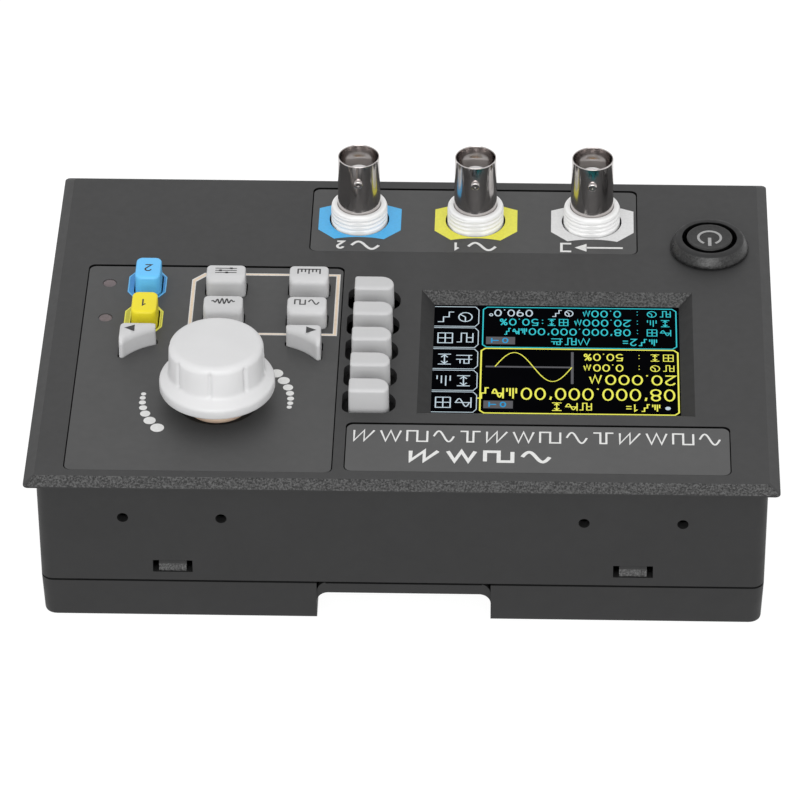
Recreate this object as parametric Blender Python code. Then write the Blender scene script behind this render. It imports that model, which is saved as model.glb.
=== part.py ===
"""Bench function generator with a flanged front panel, a colour display, thirteen keys,
a push-button rotary encoder and three coaxial connectors.

Frame: +X to the user's right, +Y up the panel, +Z out of the panel. The origin is at the
middle of the underside. Sizes are millimetres times MM, so every coordinate is in metres.
Heights are measured from a level just above the underside; node() lifts them by DATUM.
"""
import bmesh
import bpy
from math import cos, pi, sin, tau
from mathutils import Vector

MM = 0.001
DATUM = 0.5                       # height of the level that all heights are measured from

# Case: a flanged cover over a shallow tray
FLANGE_HALF = (84.0, 61.5)        # half width and half depth of the panel flange
WALL_HALF = (81.4, 58.4)          # half sizes of the cover's skirt at the split line
SKIRT_TOP_HALF = (81.5, 58.8)     # the same where it meets the flange
TRAY_LOW_HALF = (81.0, 58.3)      # the tray just above its rounded bottom edge
TRAY_FOOT_HALF = (80.6, 57.8)     # the flat underside
TRAY_EDGE = 0.6                   # height of the rounded bottom edge
PANEL_Z = 39.6                    # front face of the panel
PANEL_UNDER = 37.4                # back face of the panel
FLANGE_Z = 37.7                   # underside of the flange
FLANGE_LIP = 0.6                  # height of the flange's straight edge
FLANGE_BEVEL = 2.4                # width of the sloped edge of the panel
SPLIT_Z = 10.0                    # where the cover meets the tray
WALL = 2.2                        # skirt thickness
GAP = 0.3                         # clearance between touching pieces
CORNER_R = 2.8

# Rail channel across the underside of the tray
CHANNEL_X = -0.35
CHANNEL_HALF = 19.6
CHANNEL_TOP = 6.65
CHANNEL_FILLET = 2.6
CHANNEL_WALL = 2.2
CHANNEL_SETBACK = 0.4
POCKET_SIZE = (2.4, 2.75)         # dark notch at each upper corner of the channel's end
POCKET_DEPTH = 3.0

# Snap hooks and screw holes on the two long walls
HOOK_X = (-51.85, 51.5)
HOOK_HALF = 3.1
HOOK_TOP = 15.4
HOOK_BARB = 3.0
WINDOW_HALF = 4.45
WINDOW_Z = (12.3, 15.6)
SIDE_HOLE_X = (-62.7, -40.7, 40.3, 62.3)
SIDE_HOLE_Z = 27.65
SIDE_HOLE_R = 1.15

# Label films lie in shallow recesses: centre x, centre y, width, depth
RECESS_DEPTH = 0.7
FILM = 0.35
FILM_GAPS = (0.25, 0.6, 0.1)      # film to recess at the sides, the lower end and the upper end
CONTROL_AREA = (45.4, 16.9, 59.9, 80.0)
CONNECTOR_AREA = (-14.45, -43.0, 77.2, 26.6)
TITLE_AREA = (-30.15, 47.05, 86.2, 18.1)
FILM_CORNER = 1.6

# Keys: cap sizes, clearances and heights
CAP_TOP = 44.5
SOFT_SIZE = (9.25, 5.15)
SOFT_X = 8.1
SOFT_Y0 = -10.25
SOFT_PITCH = 10.06
SOFT_CLEAR = (1.45, 1.75)
SOFT_RADII = (0.7, 2.3, 2.3, 0.7)
FUNCTION_SIZE = (9.25, 5.9)
FUNCTION_X = (42.7, 23.4)
FUNCTION_Y = (-13.7, -1.3)
CHANNEL_KEY_SIZE = (6.05, 8.4)
CHANNEL_KEY_X = 60.85
CHANNEL_KEY_Y = (-1.3, -15.2)
CURSOR_AXIS = 42.75               # the two cursor keys mirror each other about this x
CURSOR_NEAR = 14.9                # their inner and outer sides, from that axis
CURSOR_FAR = 23.15
CURSOR_Y = (6.9, 8.4, 14.6)       # straight edge, short side end, long side end
CURSOR_BOW = 0.55                 # how far the slanted side is hollowed
KEY_RADIUS = 1.25
KEY_CLEAR = 0.3
FLANGE_REACH = 0.45               # how far a key's flange reaches under the panel
STEM_SCALE = 0.5
STEM_BOTTOM = 34.2
FLANGE_RISE = (36.2, 36.9)
KEY_EDGE = ((0.12, 0.7), (0.3, 0.2), (0.65, 0.0))   # inset and drop of the cap's rounded edge

# Rotary encoder and its knob
KNOB_XY = (42.3, 30.0)
KNOB_FLUTES = 8
SHAFT_R = 3.0
ENCODER_SINK_R = 9.5
ENCODER_SINK = 1.6
NUT_R = 7.0

# Coaxial connectors
COAX_Y = -43.25
COAX_X = {"ch2": 12.75, "ch1": -14.75, "ext": -42.25}
COAX_RIM = 57.5
COAX_HOLE_R = 7.05
COAX_BARREL_R = (5.05, 4.85)      # at the foot and at the rim
COAX_BORE_R = 4.6
COLLAR_R = (6.65, 6.35)           # crest and root of the collar's ridges
COLLAR_FLAT = 6.33                # distance of the flat on its upper side
COLLAR_TOP = 44.75
RIDGE_Z = 40.0                    # lowest ridge
RIDGE_PITCH = 1.1
HOUSING_BORE_R = 5.3
HOUSING_FLOOR = 26.0
LUG_R = 1.05
LUG_REACH = 5.75
LUG_Z = 53.6
INSULATOR_R = 2.7
INSULATOR_TOP = 53.4

# Power button
POWER_XY = (-69.85, -32.4)
POWER_BARREL_R = 7.0
POWER_BORE_R = 6.4
POWER_CAP_R = 5.4
POWER_CAP_TOP = 43.0

# Status lights
LIGHT_XY = ((70.05, -15.7), (70.05, -1.75))
LIGHT_R = 1.5
LIGHT_CLEAR = 0.08

# Display
SCREEN_XY = (-34.15, 10.0)
SCREEN_HALF = (28.3, 21.25)
SCREEN_BEVEL = 3.1                # width of the sloped edge round the screen
SCREEN_EDGE = 0.15                # upright edge at the bottom of that slope
GLASS_HALF = (31.0, 23.6)
GLASS_Z = (36.15, 37.35)
MODULE_HALF = (34.4, 25.0)

# Circuit boards, with the posts and screws that hold them
MAIN_BOARD_Z = (14.0, 15.6)
MAIN_BOARD_HALF = (77.5, 53.2)
MAIN_POSTS = [(x, y) for x in (-74.0, 74.0) for y in (-50.5, 50.5)]
FRONT_BOARD_Z = (28.4, 30.0)
FRONT_BOARD = (-70.0, -23.5, 74.0, 45.5)
FRONT_POSTS = [(-66.0, 40.5), (70.0, 41.0), (-66.0, -19.5), (52.5, -20.3)]
POST_R = 2.6
SCREW_R = 1.25
SCREW_HOLE_R = 1.6
SWITCH_TOP = 33.6
SWITCH_HALF = 2.6
CHIPS = ((0, 6, 10, 10, 1.6), (34, 12, 7, 7, 1.4), (-40, 2, 9, 6, 1.8), (30, -22, 5, 4, 2.4))

# Sockets in the left wall
SOCKET_WALL_X = -80.8
JACK_Y = 28.0
JACK_Z = 21.4
USB_Y = 8.0
USB_Z = 21.6


# ---------------------------------------------------------------- materials
def material(name, colour, roughness, metallic=0.0):
    made = bpy.data.materials.new(name)
    made.use_nodes = True
    shader = made.node_tree.nodes["Principled BSDF"]
    shader.inputs["Base Color"].default_value = (*colour, 1.0)
    shader.inputs["Roughness"].default_value = roughness
    shader.inputs["Metallic"].default_value = metallic
    return made


FINISHES = {
    "case": ((0.052, 0.052, 0.052), 0.55, 0.0),
    "film": ((0.085, 0.085, 0.085), 0.5, 0.0),
    "key_grey": ((0.64, 0.64, 0.64), 0.45, 0.0),
    "key_blue": ((0.09, 0.42, 0.8), 0.45, 0.0),
    "key_yellow": ((0.91, 0.8, 0.03), 0.45, 0.0),
    "white_plastic": ((0.86, 0.86, 0.85), 0.4, 0.0),
    "button_black": ((0.02, 0.02, 0.02), 0.35, 0.0),
    "nickel": ((0.62, 0.6, 0.57), 0.16, 1.0),
    "gold": ((0.82, 0.6, 0.25), 0.25, 1.0),
    "steel": ((0.55, 0.55, 0.56), 0.3, 1.0),
    "light_pipe": ((0.17, 0.13, 0.135), 0.3, 0.0),
    "glass": ((0.01, 0.01, 0.012), 0.08, 0.0),
    "board": ((0.02, 0.12, 0.05), 0.5, 0.0),
    "socket_black": ((0.015, 0.015, 0.015), 0.45, 0.0),
}


# ---------------------------------------------------------------- outlines
def arc(centre, radius, start, end, steps):
    turn = (end - start) / steps
    return [(centre[0] + radius * cos(start + i * turn), centre[1] + radius * sin(start + i * turn))
            for i in range(steps + 1)]


def rounded_box(centre, half, radii, steps=2):
    """Anticlockwise outline; radii are for the +X+Y, -X+Y, -X-Y and +X-Y corners."""
    if not isinstance(radii, tuple):
        radii = (radii,) * 4
    signs = ((1, 1), (-1, 1), (-1, -1), (1, -1))
    points = []
    for i, ((sx, sy), radius) in enumerate(zip(signs, radii)):
        middle = (centre[0] + sx * (half[0] - radius), centre[1] + sy * (half[1] - radius))
        points += arc(middle, radius, i * pi / 2, (i + 1) * pi / 2, steps)
    return points


def rectangle(centre, half):
    (x, y), (width, depth) = centre, half
    return [(x - width, y - depth), (x + width, y - depth), (x + width, y + depth), (x - width, y + depth)]


def circle(centre, radius, steps):
    return arc(centre, radius, 0.0, tau, steps)[:-1]


def square_ring(centre, reach, steps):
    """A square whose points lie at the same angles as those of a circle."""
    points = []
    for i in range(steps):
        angle = tau * i / steps
        radius = reach / max(abs(cos(angle)), abs(sin(angle)))
        points.append((centre[0] + radius * cos(angle), centre[1] + radius * sin(angle)))
    return points


def grown(outline, distance):
    """Move each side of a closed anticlockwise outline outwards by a distance."""
    count = len(outline)
    result = []
    for i in range(count):
        here = Vector(outline[i])
        before = (here - Vector(outline[i - 1])).normalized()
        after = (Vector(outline[(i + 1) % count]) - here).normalized()
        normal = Vector((before.y + after.y, -before.x - after.x)).normalized()
        lean = max(0.5, normal.dot(Vector((before.y, -before.x))))
        moved = here + normal * (distance / lean)
        result.append((moved.x, moved.y))
    return result


def scaled(outline, factor):
    middle = sum((Vector(p) for p in outline), Vector((0.0, 0.0))) / len(outline)
    return [tuple(middle + (Vector(p) - middle) * factor) for p in outline]


# ---------------------------------------------------------------- solids
def ring(bm, outline, z):
    return [bm.verts.new((x * MM, y * MM, z * MM)) for x, y in outline]


def bridge(bm, lower, upper):
    count = len(lower)
    for i in range(count):
        j = (i + 1) % count
        bm.faces.new((lower[i], lower[j], upper[j], upper[i]))


def stack(bm, levels):
    """A closed solid through (outline, z) levels, walked up the outside."""
    rings = [ring(bm, outline, z) for outline, z in levels]
    for lower, upper in zip(rings, rings[1:]):
        bridge(bm, lower, upper)
    bm.faces.new(list(reversed(rings[0])))
    bm.faces.new(rings[-1])


def prism(bm, outline, z0, z1):
    stack(bm, [(outline, z0), (outline, z1)])


def box(bm, low, high):
    outline = [(low[0], low[1]), (high[0], low[1]), (high[0], high[1]), (low[0], high[1])]
    prism(bm, outline, low[2], high[2])


def turned(bm, centre, profile, steps, flute=None):
    """Revolve a closed (radius, z) profile, walked with the solid on its left."""
    columns = []
    for radius, z in profile:
        if radius == 0:
            columns.append([bm.verts.new((centre[0] * MM, centre[1] * MM, z * MM))] * steps)
            continue
        row = []
        for i in range(steps):
            r = radius - (flute(i, radius, z) if flute else 0.0)
            angle = tau * i / steps
            row.append(bm.verts.new(((centre[0] + r * cos(angle)) * MM,
                                     (centre[1] + r * sin(angle)) * MM, z * MM)))
        columns.append(row)
    for here, after in zip(columns, columns[1:] + columns[:1]):
        for i in range(steps):
            j = (i + 1) % steps
            corners = []
            for vertex in (here[i], here[j], after[j], after[i]):
                if vertex not in corners:
                    corners.append(vertex)
            if len(corners) > 2:
                bm.faces.new(corners)


def across_x(bm, centre, radius, x0, x1, steps):
    """A round bar along X, centred on (y, z)."""
    ends = []
    for x in (x0, x1):
        ends.append([bm.verts.new((x * MM, (centre[0] + radius * cos(tau * i / steps)) * MM,
                                   (centre[1] + radius * sin(tau * i / steps)) * MM))
                     for i in range(steps)])
    bridge(bm, ends[0], ends[1])
    bm.faces.new(list(reversed(ends[0])))
    bm.faces.new(ends[1])


def across_y(bm, outline, y0, y1):
    """A prism along Y from an anticlockwise (x, z) outline, seen from -Y."""
    ends = [[bm.verts.new((x * MM, y * MM, z * MM)) for x, z in outline] for y in (y1, y0)]
    bridge(bm, ends[0], ends[1])
    bm.faces.new(list(reversed(ends[0])))
    bm.faces.new(ends[1])


# ---------------------------------------------------------------- objects
def node(name, bm, finish, origin=None, smooth=False):
    """Turn a mesh into a named object, with its origin on its own axis where one is given."""
    mesh = bpy.data.meshes.new(name)
    bmesh.ops.recalc_face_normals(bm, faces=bm.faces)
    lift = Vector((0.0, 0.0, DATUM * MM))
    place = Vector(origin) * MM + lift if origin else Vector((0.0, 0.0, 0.0))
    bmesh.ops.translate(bm, verts=bm.verts, vec=lift - place)
    bm.to_mesh(mesh)
    bm.free()
    if smooth:
        mesh.shade_smooth()
        mesh.set_sharp_from_angle(angle=pi / 5)
    made = bpy.data.objects.new(name, mesh)
    made.location = place
    bpy.context.scene.collection.objects.link(made)
    colour, roughness, metallic = FINISHES[finish]
    mesh.materials.append(material(name, colour, roughness, metallic))
    return made


def helper(name, bm):
    made = node(name, bm, "case")
    made.hide_render = True
    made.display_type = "WIRE"
    return made


def combine(target, operation, tool):
    modifier = target.modifiers.new(tool.name, "BOOLEAN")
    modifier.operation = operation
    modifier.object = tool
    modifier.solver = "EXACT"


# ---------------------------------------------------------------- key outlines
def cursor_outline(side):
    """A key with one slanted, slightly hollow side that faces the knob."""
    straight, short, long = CURSOR_Y
    hollow = []
    for i in range(5):
        t = i / 4
        bow = CURSOR_BOW * 4 * t * (1 - t)
        hollow.append((CURSOR_FAR + (CURSOR_NEAR - CURSOR_FAR) * t - bow * 0.5,
                       long + (short - long) * t - bow * 0.85))
    edge = KEY_RADIUS
    far_corner = arc((CURSOR_FAR - edge, straight + edge), edge, -pi / 2, 0.0, 2)
    near_corner = arc((CURSOR_NEAR + edge, straight + edge), edge, pi, 1.5 * pi, 2)
    points = near_corner + far_corner + hollow
    points = [(CURSOR_AXIS + side * x, y) for x, y in points]
    return points if side > 0 else list(reversed(points))


def half(size):
    return (size[0] / 2, size[1] / 2)


def soft_slot(centre):
    """The wide slot round a soft key, rounded about the same corner centres."""
    width, depth = half(SOFT_SIZE)
    radii = tuple(radius + min(SOFT_CLEAR) for radius in SOFT_RADII)
    return rounded_box(centre, (width + SOFT_CLEAR[0], depth + SOFT_CLEAR[1]), radii)


def key_plan():
    """Every key: name, cap outline, slot outline and finish."""
    keys = []
    for i in range(5):
        centre = (SOFT_X, SOFT_Y0 + SOFT_PITCH * i)
        outline = rounded_box(centre, half(SOFT_SIZE), SOFT_RADII)
        keys.append((f"key_soft_{i + 1}", outline, soft_slot(centre), "key_grey"))
    fitted = []
    for label, x, y in (("sys", 0, 0), ("meas", 1, 0), ("mod", 0, 1), ("wave", 1, 1)):
        centre = (FUNCTION_X[x], FUNCTION_Y[y])
        fitted.append((label, rounded_box(centre, half(FUNCTION_SIZE), KEY_RADIUS), "key_grey"))
    for number, y, finish in ((1, CHANNEL_KEY_Y[0], "key_yellow"), (2, CHANNEL_KEY_Y[1], "key_blue")):
        outline = rounded_box((CHANNEL_KEY_X, y), half(CHANNEL_KEY_SIZE), KEY_RADIUS)
        fitted.append((f"channel_{number}", outline, finish))
    fitted.append(("cursor_right", cursor_outline(1), "key_grey"))
    fitted.append(("cursor_left", cursor_outline(-1), "key_grey"))
    for label, outline, finish in fitted:
        keys.append((f"key_{label}", outline, grown(outline, KEY_CLEAR), finish))
    return keys


# ---------------------------------------------------------------- case
def case_outline(half_size, inset=0.0, radius=CORNER_R):
    return rounded_box((0.0, 0.0), (half_size[0] - inset, half_size[1] - inset), radius)


def top_cover():
    bm = bmesh.new()
    bevel = case_outline(FLANGE_HALF, FLANGE_BEVEL, 0.8)
    levels = [
        (case_outline(WALL_HALF, WALL, 1.2), PANEL_UNDER),
        (case_outline(WALL_HALF, WALL, 1.2), SPLIT_Z),
        (case_outline(WALL_HALF), SPLIT_Z),
        (case_outline(SKIRT_TOP_HALF), FLANGE_Z),
        (case_outline(FLANGE_HALF, 0.0, 1.2), FLANGE_Z),
        (case_outline(FLANGE_HALF, 0.0, 1.2), FLANGE_Z + FLANGE_LIP),
        (bevel, PANEL_Z),
    ]
    stack(bm, levels)
    cover = node("top_cover", bm, "case")
    posts = bmesh.new()
    for x, y in MAIN_POSTS:
        prism(posts, circle((x, y), POST_R, 8), MAIN_BOARD_Z[1] + GAP, PANEL_UNDER + 0.5)
    for x, y in FRONT_POSTS:
        prism(posts, circle((x, y), POST_R, 8), FRONT_BOARD_Z[1] + GAP, PANEL_UNDER + 0.5)
    combine(cover, "UNION", helper("cover_posts", posts))
    combine(cover, "DIFFERENCE", helper("cover_recesses", recess_cuts()))
    combine(cover, "DIFFERENCE", helper("cover_openings", opening_cuts()))
    return cover


def film_outline(area, gaps=(0.0, 0.0, 0.0)):
    x, y, width, depth = area
    side, lower, upper = gaps
    centre = (x, y + (lower - upper) / 2)
    return rounded_box(centre, (width / 2 - side, depth / 2 - (lower + upper) / 2), FILM_CORNER)


def recess_cuts():
    bm = bmesh.new()
    for area in (CONTROL_AREA, CONNECTOR_AREA, TITLE_AREA):
        prism(bm, film_outline(area), PANEL_Z - RECESS_DEPTH, PANEL_Z + 2)
    inner = rectangle(SCREEN_XY, SCREEN_HALF)
    edge = PANEL_UNDER + SCREEN_EDGE
    slope = SCREEN_BEVEL / (PANEL_Z - edge)
    outer = grown(inner, SCREEN_BEVEL + slope)
    stack(bm, [(inner, PANEL_UNDER - 1), (inner, edge), (outer, PANEL_Z + 1)])
    return bm


def opening_cuts():
    bm = bmesh.new()
    low = PANEL_UNDER - 1
    high = PANEL_Z + 2
    for _, _, slot, _ in key_plan():
        prism(bm, slot, low, high)
    for x in COAX_X.values():
        prism(bm, circle((x, COAX_Y), COAX_HOLE_R, 20), low, high)
    for place in LIGHT_XY:
        prism(bm, circle(place, LIGHT_R + LIGHT_CLEAR, 10), low, high)
    prism(bm, circle(POWER_XY, POWER_BARREL_R + GAP, 24), low, high)
    sink = circle(KNOB_XY, ENCODER_SINK_R, 24)
    hole = circle(KNOB_XY, 3.9, 24)
    floor = PANEL_Z - ENCODER_SINK
    stack(bm, [(hole, low), (hole, floor), (sink, floor), (sink, high)])
    for x, y in MAIN_POSTS:
        prism(bm, circle((x, y), SCREW_HOLE_R, 8), MAIN_BOARD_Z[1] - 1, MAIN_BOARD_Z[1] + 10)
    for x, y in FRONT_POSTS:
        prism(bm, circle((x, y), SCREW_HOLE_R, 8), FRONT_BOARD_Z[1] - 1, FRONT_BOARD_Z[1] + 5.8)
    for side in (-1, 1):
        ends = sorted((side * (WALL_HALF[1] - WALL - 1), side * (WALL_HALF[1] + 2)))
        for x in HOOK_X:
            box(bm, (x - WINDOW_HALF, ends[0], WINDOW_Z[0]), (x + WINDOW_HALF, ends[1], WINDOW_Z[1]))
        for x in SIDE_HOLE_X:
            across_y(bm, circle((x, SIDE_HOLE_Z), SIDE_HOLE_R, 10), *ends)
    across_x(bm, (JACK_Y, JACK_Z), 4.3, SOCKET_WALL_X - 4, SOCKET_WALL_X + 6, 20)
    box(bm, (SOCKET_WALL_X - 4, USB_Y - 6.3, USB_Z - 5.8), (SOCKET_WALL_X + 6, USB_Y + 6.3, USB_Z + 5.8))
    return bm


def base_tray():
    bm = bmesh.new()
    ledge = WALL + GAP
    inner = ledge + 1.5
    rim = SPLIT_Z - GAP
    floor = 2.2
    stack(bm, [
        (case_outline(TRAY_FOOT_HALF), -DATUM),
        (case_outline(TRAY_LOW_HALF), TRAY_EDGE - DATUM),
        (case_outline(WALL_HALF), rim),
        (case_outline(WALL_HALF, ledge, 1.2), rim),
        (case_outline(WALL_HALF, ledge, 1.2), rim + 2),
        (case_outline(WALL_HALF, inner, 0.8), rim + 2),
        (case_outline(WALL_HALF, inner, 0.8), floor),
    ])
    tray = node("base_tray", bm, "case")
    added = bmesh.new()
    reach = WALL_HALF[1] - CHANNEL_SETBACK
    left = CHANNEL_X - CHANNEL_HALF
    right = CHANNEL_X + CHANNEL_HALF
    roof = CHANNEL_TOP + CHANNEL_WALL
    box(added, (left - CHANNEL_WALL, -reach, 1.0), (right + CHANNEL_WALL, reach, roof))
    combine(tray, "UNION", helper("tray_channel_walls", added))
    combine(tray, "UNION", helper("tray_hooks", hook_shapes(WALL_HALF[1] - ledge)))
    channel = bmesh.new()
    top = CHANNEL_TOP - CHANNEL_FILLET
    low = -1.0 - DATUM
    outline = [(left, low), (right, low)]
    outline += arc((right - CHANNEL_FILLET, top), CHANNEL_FILLET, 0.0, pi / 2, 4)
    outline += arc((left + CHANNEL_FILLET, top), CHANNEL_FILLET, pi / 2, pi, 4)
    across_y(channel, outline, -WALL_HALF[1] - 2, WALL_HALF[1] + 2)
    combine(tray, "DIFFERENCE", helper("tray_channel", channel))
    faces = bmesh.new()
    for side in (-1, 1):
        ends = sorted((side * reach, side * (reach + 3)))
        box(faces, (left, ends[0], low), (right, ends[1], SPLIT_Z + 2))
    combine(tray, "DIFFERENCE", helper("tray_setback", faces))
    combine(tray, "DIFFERENCE", helper("tray_pockets", channel_pockets(reach)))
    return tray


def channel_pockets(reach):
    """Notches that leave each end face of the channel with rounded upper corners."""
    bm = bmesh.new()
    width, height = POCKET_SIZE
    rim = SPLIT_Z - GAP
    high = SPLIT_Z + 1
    for side in (-1, 1):
        corner = CHANNEL_X + side * CHANNEL_HALF
        outline = [(corner, rim - height), (corner, high), (corner - side * width, high)]
        for i in range(4):
            angle = pi / 2 * (4 - i) / 4
            outline.append((corner - side * width * (1 - cos(angle)), rim - height * (1 - sin(angle))))
        for end in (-1, 1):
            across_y(bm, outline, *sorted((end * (reach - POCKET_DEPTH), end * (reach + 3))))
    return bm


def hook_shapes(face):
    """Four snap hooks: an upright from the tray's rim, with a barb into the cover's window."""
    bm = bmesh.new()
    root = SPLIT_Z
    barb_low = HOOK_TOP - HOOK_BARB
    for side in (-1, 1):
        for x in HOOK_X:
            profile = [(face - 1.4, root), (face - 0.05, root), (face - 0.05, barb_low),
                       (face + 2.2, barb_low), (face + 2.2, HOOK_TOP - 1.0), (face + 1.4, HOOK_TOP),
                       (face - 1.4, HOOK_TOP)]
            ends = [[bm.verts.new((px * MM, side * y * MM, z * MM)) for y, z in profile]
                    for px in (x - HOOK_HALF, x + HOOK_HALF)]
            bridge(bm, ends[0], ends[1])
            bm.faces.new(list(reversed(ends[0])))
            bm.faces.new(ends[1])
    return bm


# ---------------------------------------------------------------- label films
def label_film(name, area, cuts=None):
    bm = bmesh.new()
    low = PANEL_Z - RECESS_DEPTH + GAP
    prism(bm, film_outline(area, FILM_GAPS), low, low + FILM)
    film = node(name, bm, "film")
    if cuts:
        holes = bmesh.new()
        for outline in cuts:
            prism(holes, outline, low - 1, low + 2)
        combine(film, "DIFFERENCE", helper(name + "_holes", holes))
    return film


def label_films():
    holes = [slot for name, _, slot, _ in key_plan() if "soft" not in name]
    holes += [circle(place, LIGHT_R + LIGHT_CLEAR, 10) for place in LIGHT_XY]
    holes.append(circle(KNOB_XY, ENCODER_SINK_R, 24))
    label_film("control_film", CONTROL_AREA, holes)
    label_film("connector_film", CONNECTOR_AREA,
               [circle((x, COAX_Y), COAX_HOLE_R, 20) for x in COAX_X.values()])
    label_film("title_film", TITLE_AREA)


# ---------------------------------------------------------------- keys
def key_cap(name, outline, slot, finish):
    """A cap on a stem. A key that fits its slot closely is kept in by a flange."""
    bm = bmesh.new()
    stem = scaled(outline, STEM_SCALE)
    low, high = FLANGE_RISE
    levels = [(stem, STEM_BOTTOM), (stem, low)]
    if "soft" in name:
        levels.append((outline, low))
    else:
        flange = grown(slot, FLANGE_REACH)
        levels += [(flange, low), (flange, high), (outline, high)]
    levels += [(grown(outline, -inset), CAP_TOP - drop) for inset, drop in KEY_EDGE]
    stack(bm, levels)
    middle = sum((Vector(p) for p in outline), Vector((0.0, 0.0))) / len(outline)
    return node(name, bm, finish, origin=(middle.x, middle.y, CAP_TOP), smooth=True)


# ---------------------------------------------------------------- encoder
def knob():
    bm = bmesh.new()
    profile = [
        (3.3, 43.0), (5.0, 43.0), (5.0, 52.4), (8.9, 52.4), (11.0, 43.5),
        (13.07, 43.5), (13.07, 46.1), (12.75, 46.6), (10.72, 48.5), (10.45, 54.5), (10.1, 55.2),
        (9.2, 55.6), (0.0, 55.6), (0.0, 53.3), (3.3, 53.3),
    ]

    def flute(i, radius, z):
        return 0.35 if i % 5 == 0 and radius > 9.5 and 47 < z < 54.8 else 0.0

    turned(bm, KNOB_XY, profile, 5 * KNOB_FLUTES, flute)
    return node("knob", bm, "key_grey", origin=(*KNOB_XY, 0.0), smooth=True)


def encoder():
    centre = KNOB_XY
    bm = bmesh.new()
    square = square_ring(centre, 6.5, 16)
    neck, bore, well = (circle(centre, radius, 16) for radius in (3.6, 3.3, 4.6))
    rings = [ring(bm, outline, z) for outline, z in (
        (square, 30.3), (square, 36.8), (neck, 36.8), (neck, 41.6), (bore, 41.6), (bore, 34.6),
        (well, 34.6), (well, 30.3))]
    for lower, upper in zip(rings, rings[1:] + rings[:1]):
        bridge(bm, lower, upper)
    node("encoder_body", bm, "steel", smooth=True)

    bm = bmesh.new()
    turned(bm, centre, [(3.85, 38.1), (NUT_R - 0.1, 38.1), (NUT_R, 38.4), (NUT_R, 39.6), (NUT_R - 0.3, 40.0),
                        (3.85, 40.0)], 20)
    node("encoder_nut", bm, "gold", smooth=True)

    bm = bmesh.new()
    turned(bm, centre, [(0.0, 34.0), (SHAFT_R - 0.1, 34.0), (SHAFT_R - 0.1, 52.6), (SHAFT_R - 0.5, 53.0),
                        (0.0, 53.0)], 16)
    node("encoder_shaft", bm, "steel", origin=(*centre, 0.0), smooth=True)

    bm = bmesh.new()
    turned(bm, centre, [(0.0, 31.0), (4.1, 31.0), (4.1, 31.8), (2.2, 33.6), (0.0, 33.6)], 16)
    node("encoder_plunger", bm, "socket_black", origin=(*centre, 0.0), smooth=True)


# ---------------------------------------------------------------- coaxial connectors
def collar_ring(centre, radius, steps):
    """A circle with a flat on its +Y side."""
    return [(x, min(y, centre[1] + COLLAR_FLAT)) for x, y in circle(centre, radius, steps)]


def coax_housing(name, centre):
    steps = 16
    square = square_ring(centre, 7.3, steps)
    crest, root = (collar_ring(centre, radius, steps) for radius in COLLAR_R)
    foot = MAIN_BOARD_Z[1] + GAP
    levels = [(square, foot), (square, 36.9), (crest, 36.9)]
    z = RIDGE_Z
    while z < COLLAR_TOP - RIDGE_PITCH:
        levels += [(crest, z), (root, z + 0.3), (root, z + 0.5), (crest, z + 0.8)]
        z += RIDGE_PITCH
    bore = circle(centre, HOUSING_BORE_R, steps)
    throat = circle(centre, 3.2, steps)
    levels += [(crest, COLLAR_TOP), (bore, COLLAR_TOP), (bore, HOUSING_FLOOR), (throat, HOUSING_FLOOR),
               (throat, foot)]
    bm = bmesh.new()
    rings = [ring(bm, outline, z) for outline, z in levels]
    for lower, upper in zip(rings, rings[1:] + rings[:1]):
        bridge(bm, lower, upper)
    node(f"coax_housing_{name}", bm, "white_plastic", smooth=True)


def coax_connector(name, x):
    centre = (x, COAX_Y)
    coax_housing(name, centre)

    bm = bmesh.new()
    foot, rim = COAX_BARREL_R
    low = HOUSING_FLOOR + GAP
    turned(bm, centre, [
        (INSULATOR_R + 0.2, low), (foot, low), (foot, 46.2), (rim, COAX_RIM - 0.3), (rim - 0.06, COAX_RIM),
        (COAX_BORE_R + 0.06, COAX_RIM), (COAX_BORE_R, COAX_RIM - 0.3), (COAX_BORE_R, 44.0),
        (INSULATOR_R + 0.2, 44.0),
    ], 20)
    barrel = node(f"coax_barrel_{name}", bm, "nickel", smooth=True)
    lugs = bmesh.new()
    for side in (-1, 1):
        ends = sorted((COAX_Y + side * (COAX_BORE_R + 0.12), COAX_Y + side * LUG_REACH))
        across_y(lugs, circle((x, LUG_Z), LUG_R, 10), *ends)
    combine(barrel, "UNION", helper(f"coax_lugs_{name}", lugs))

    bm = bmesh.new()
    inner = 1.35
    turned(bm, centre, [(inner, 20.0), (INSULATOR_R, 20.0), (INSULATOR_R, INSULATOR_TOP - 0.2),
                        (INSULATOR_R - 0.2, INSULATOR_TOP), (inner, INSULATOR_TOP)], 12)
    node(f"coax_insulator_{name}", bm, "white_plastic", smooth=True)

    bm = bmesh.new()
    turned(bm, centre, [(0.0, 15.95), (1.0, 15.95), (1.0, 53.0), (0.6, 53.0), (0.6, 48.5), (0.0, 48.5)], 8)
    node(f"coax_contact_{name}", bm, "gold", smooth=True)


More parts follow.
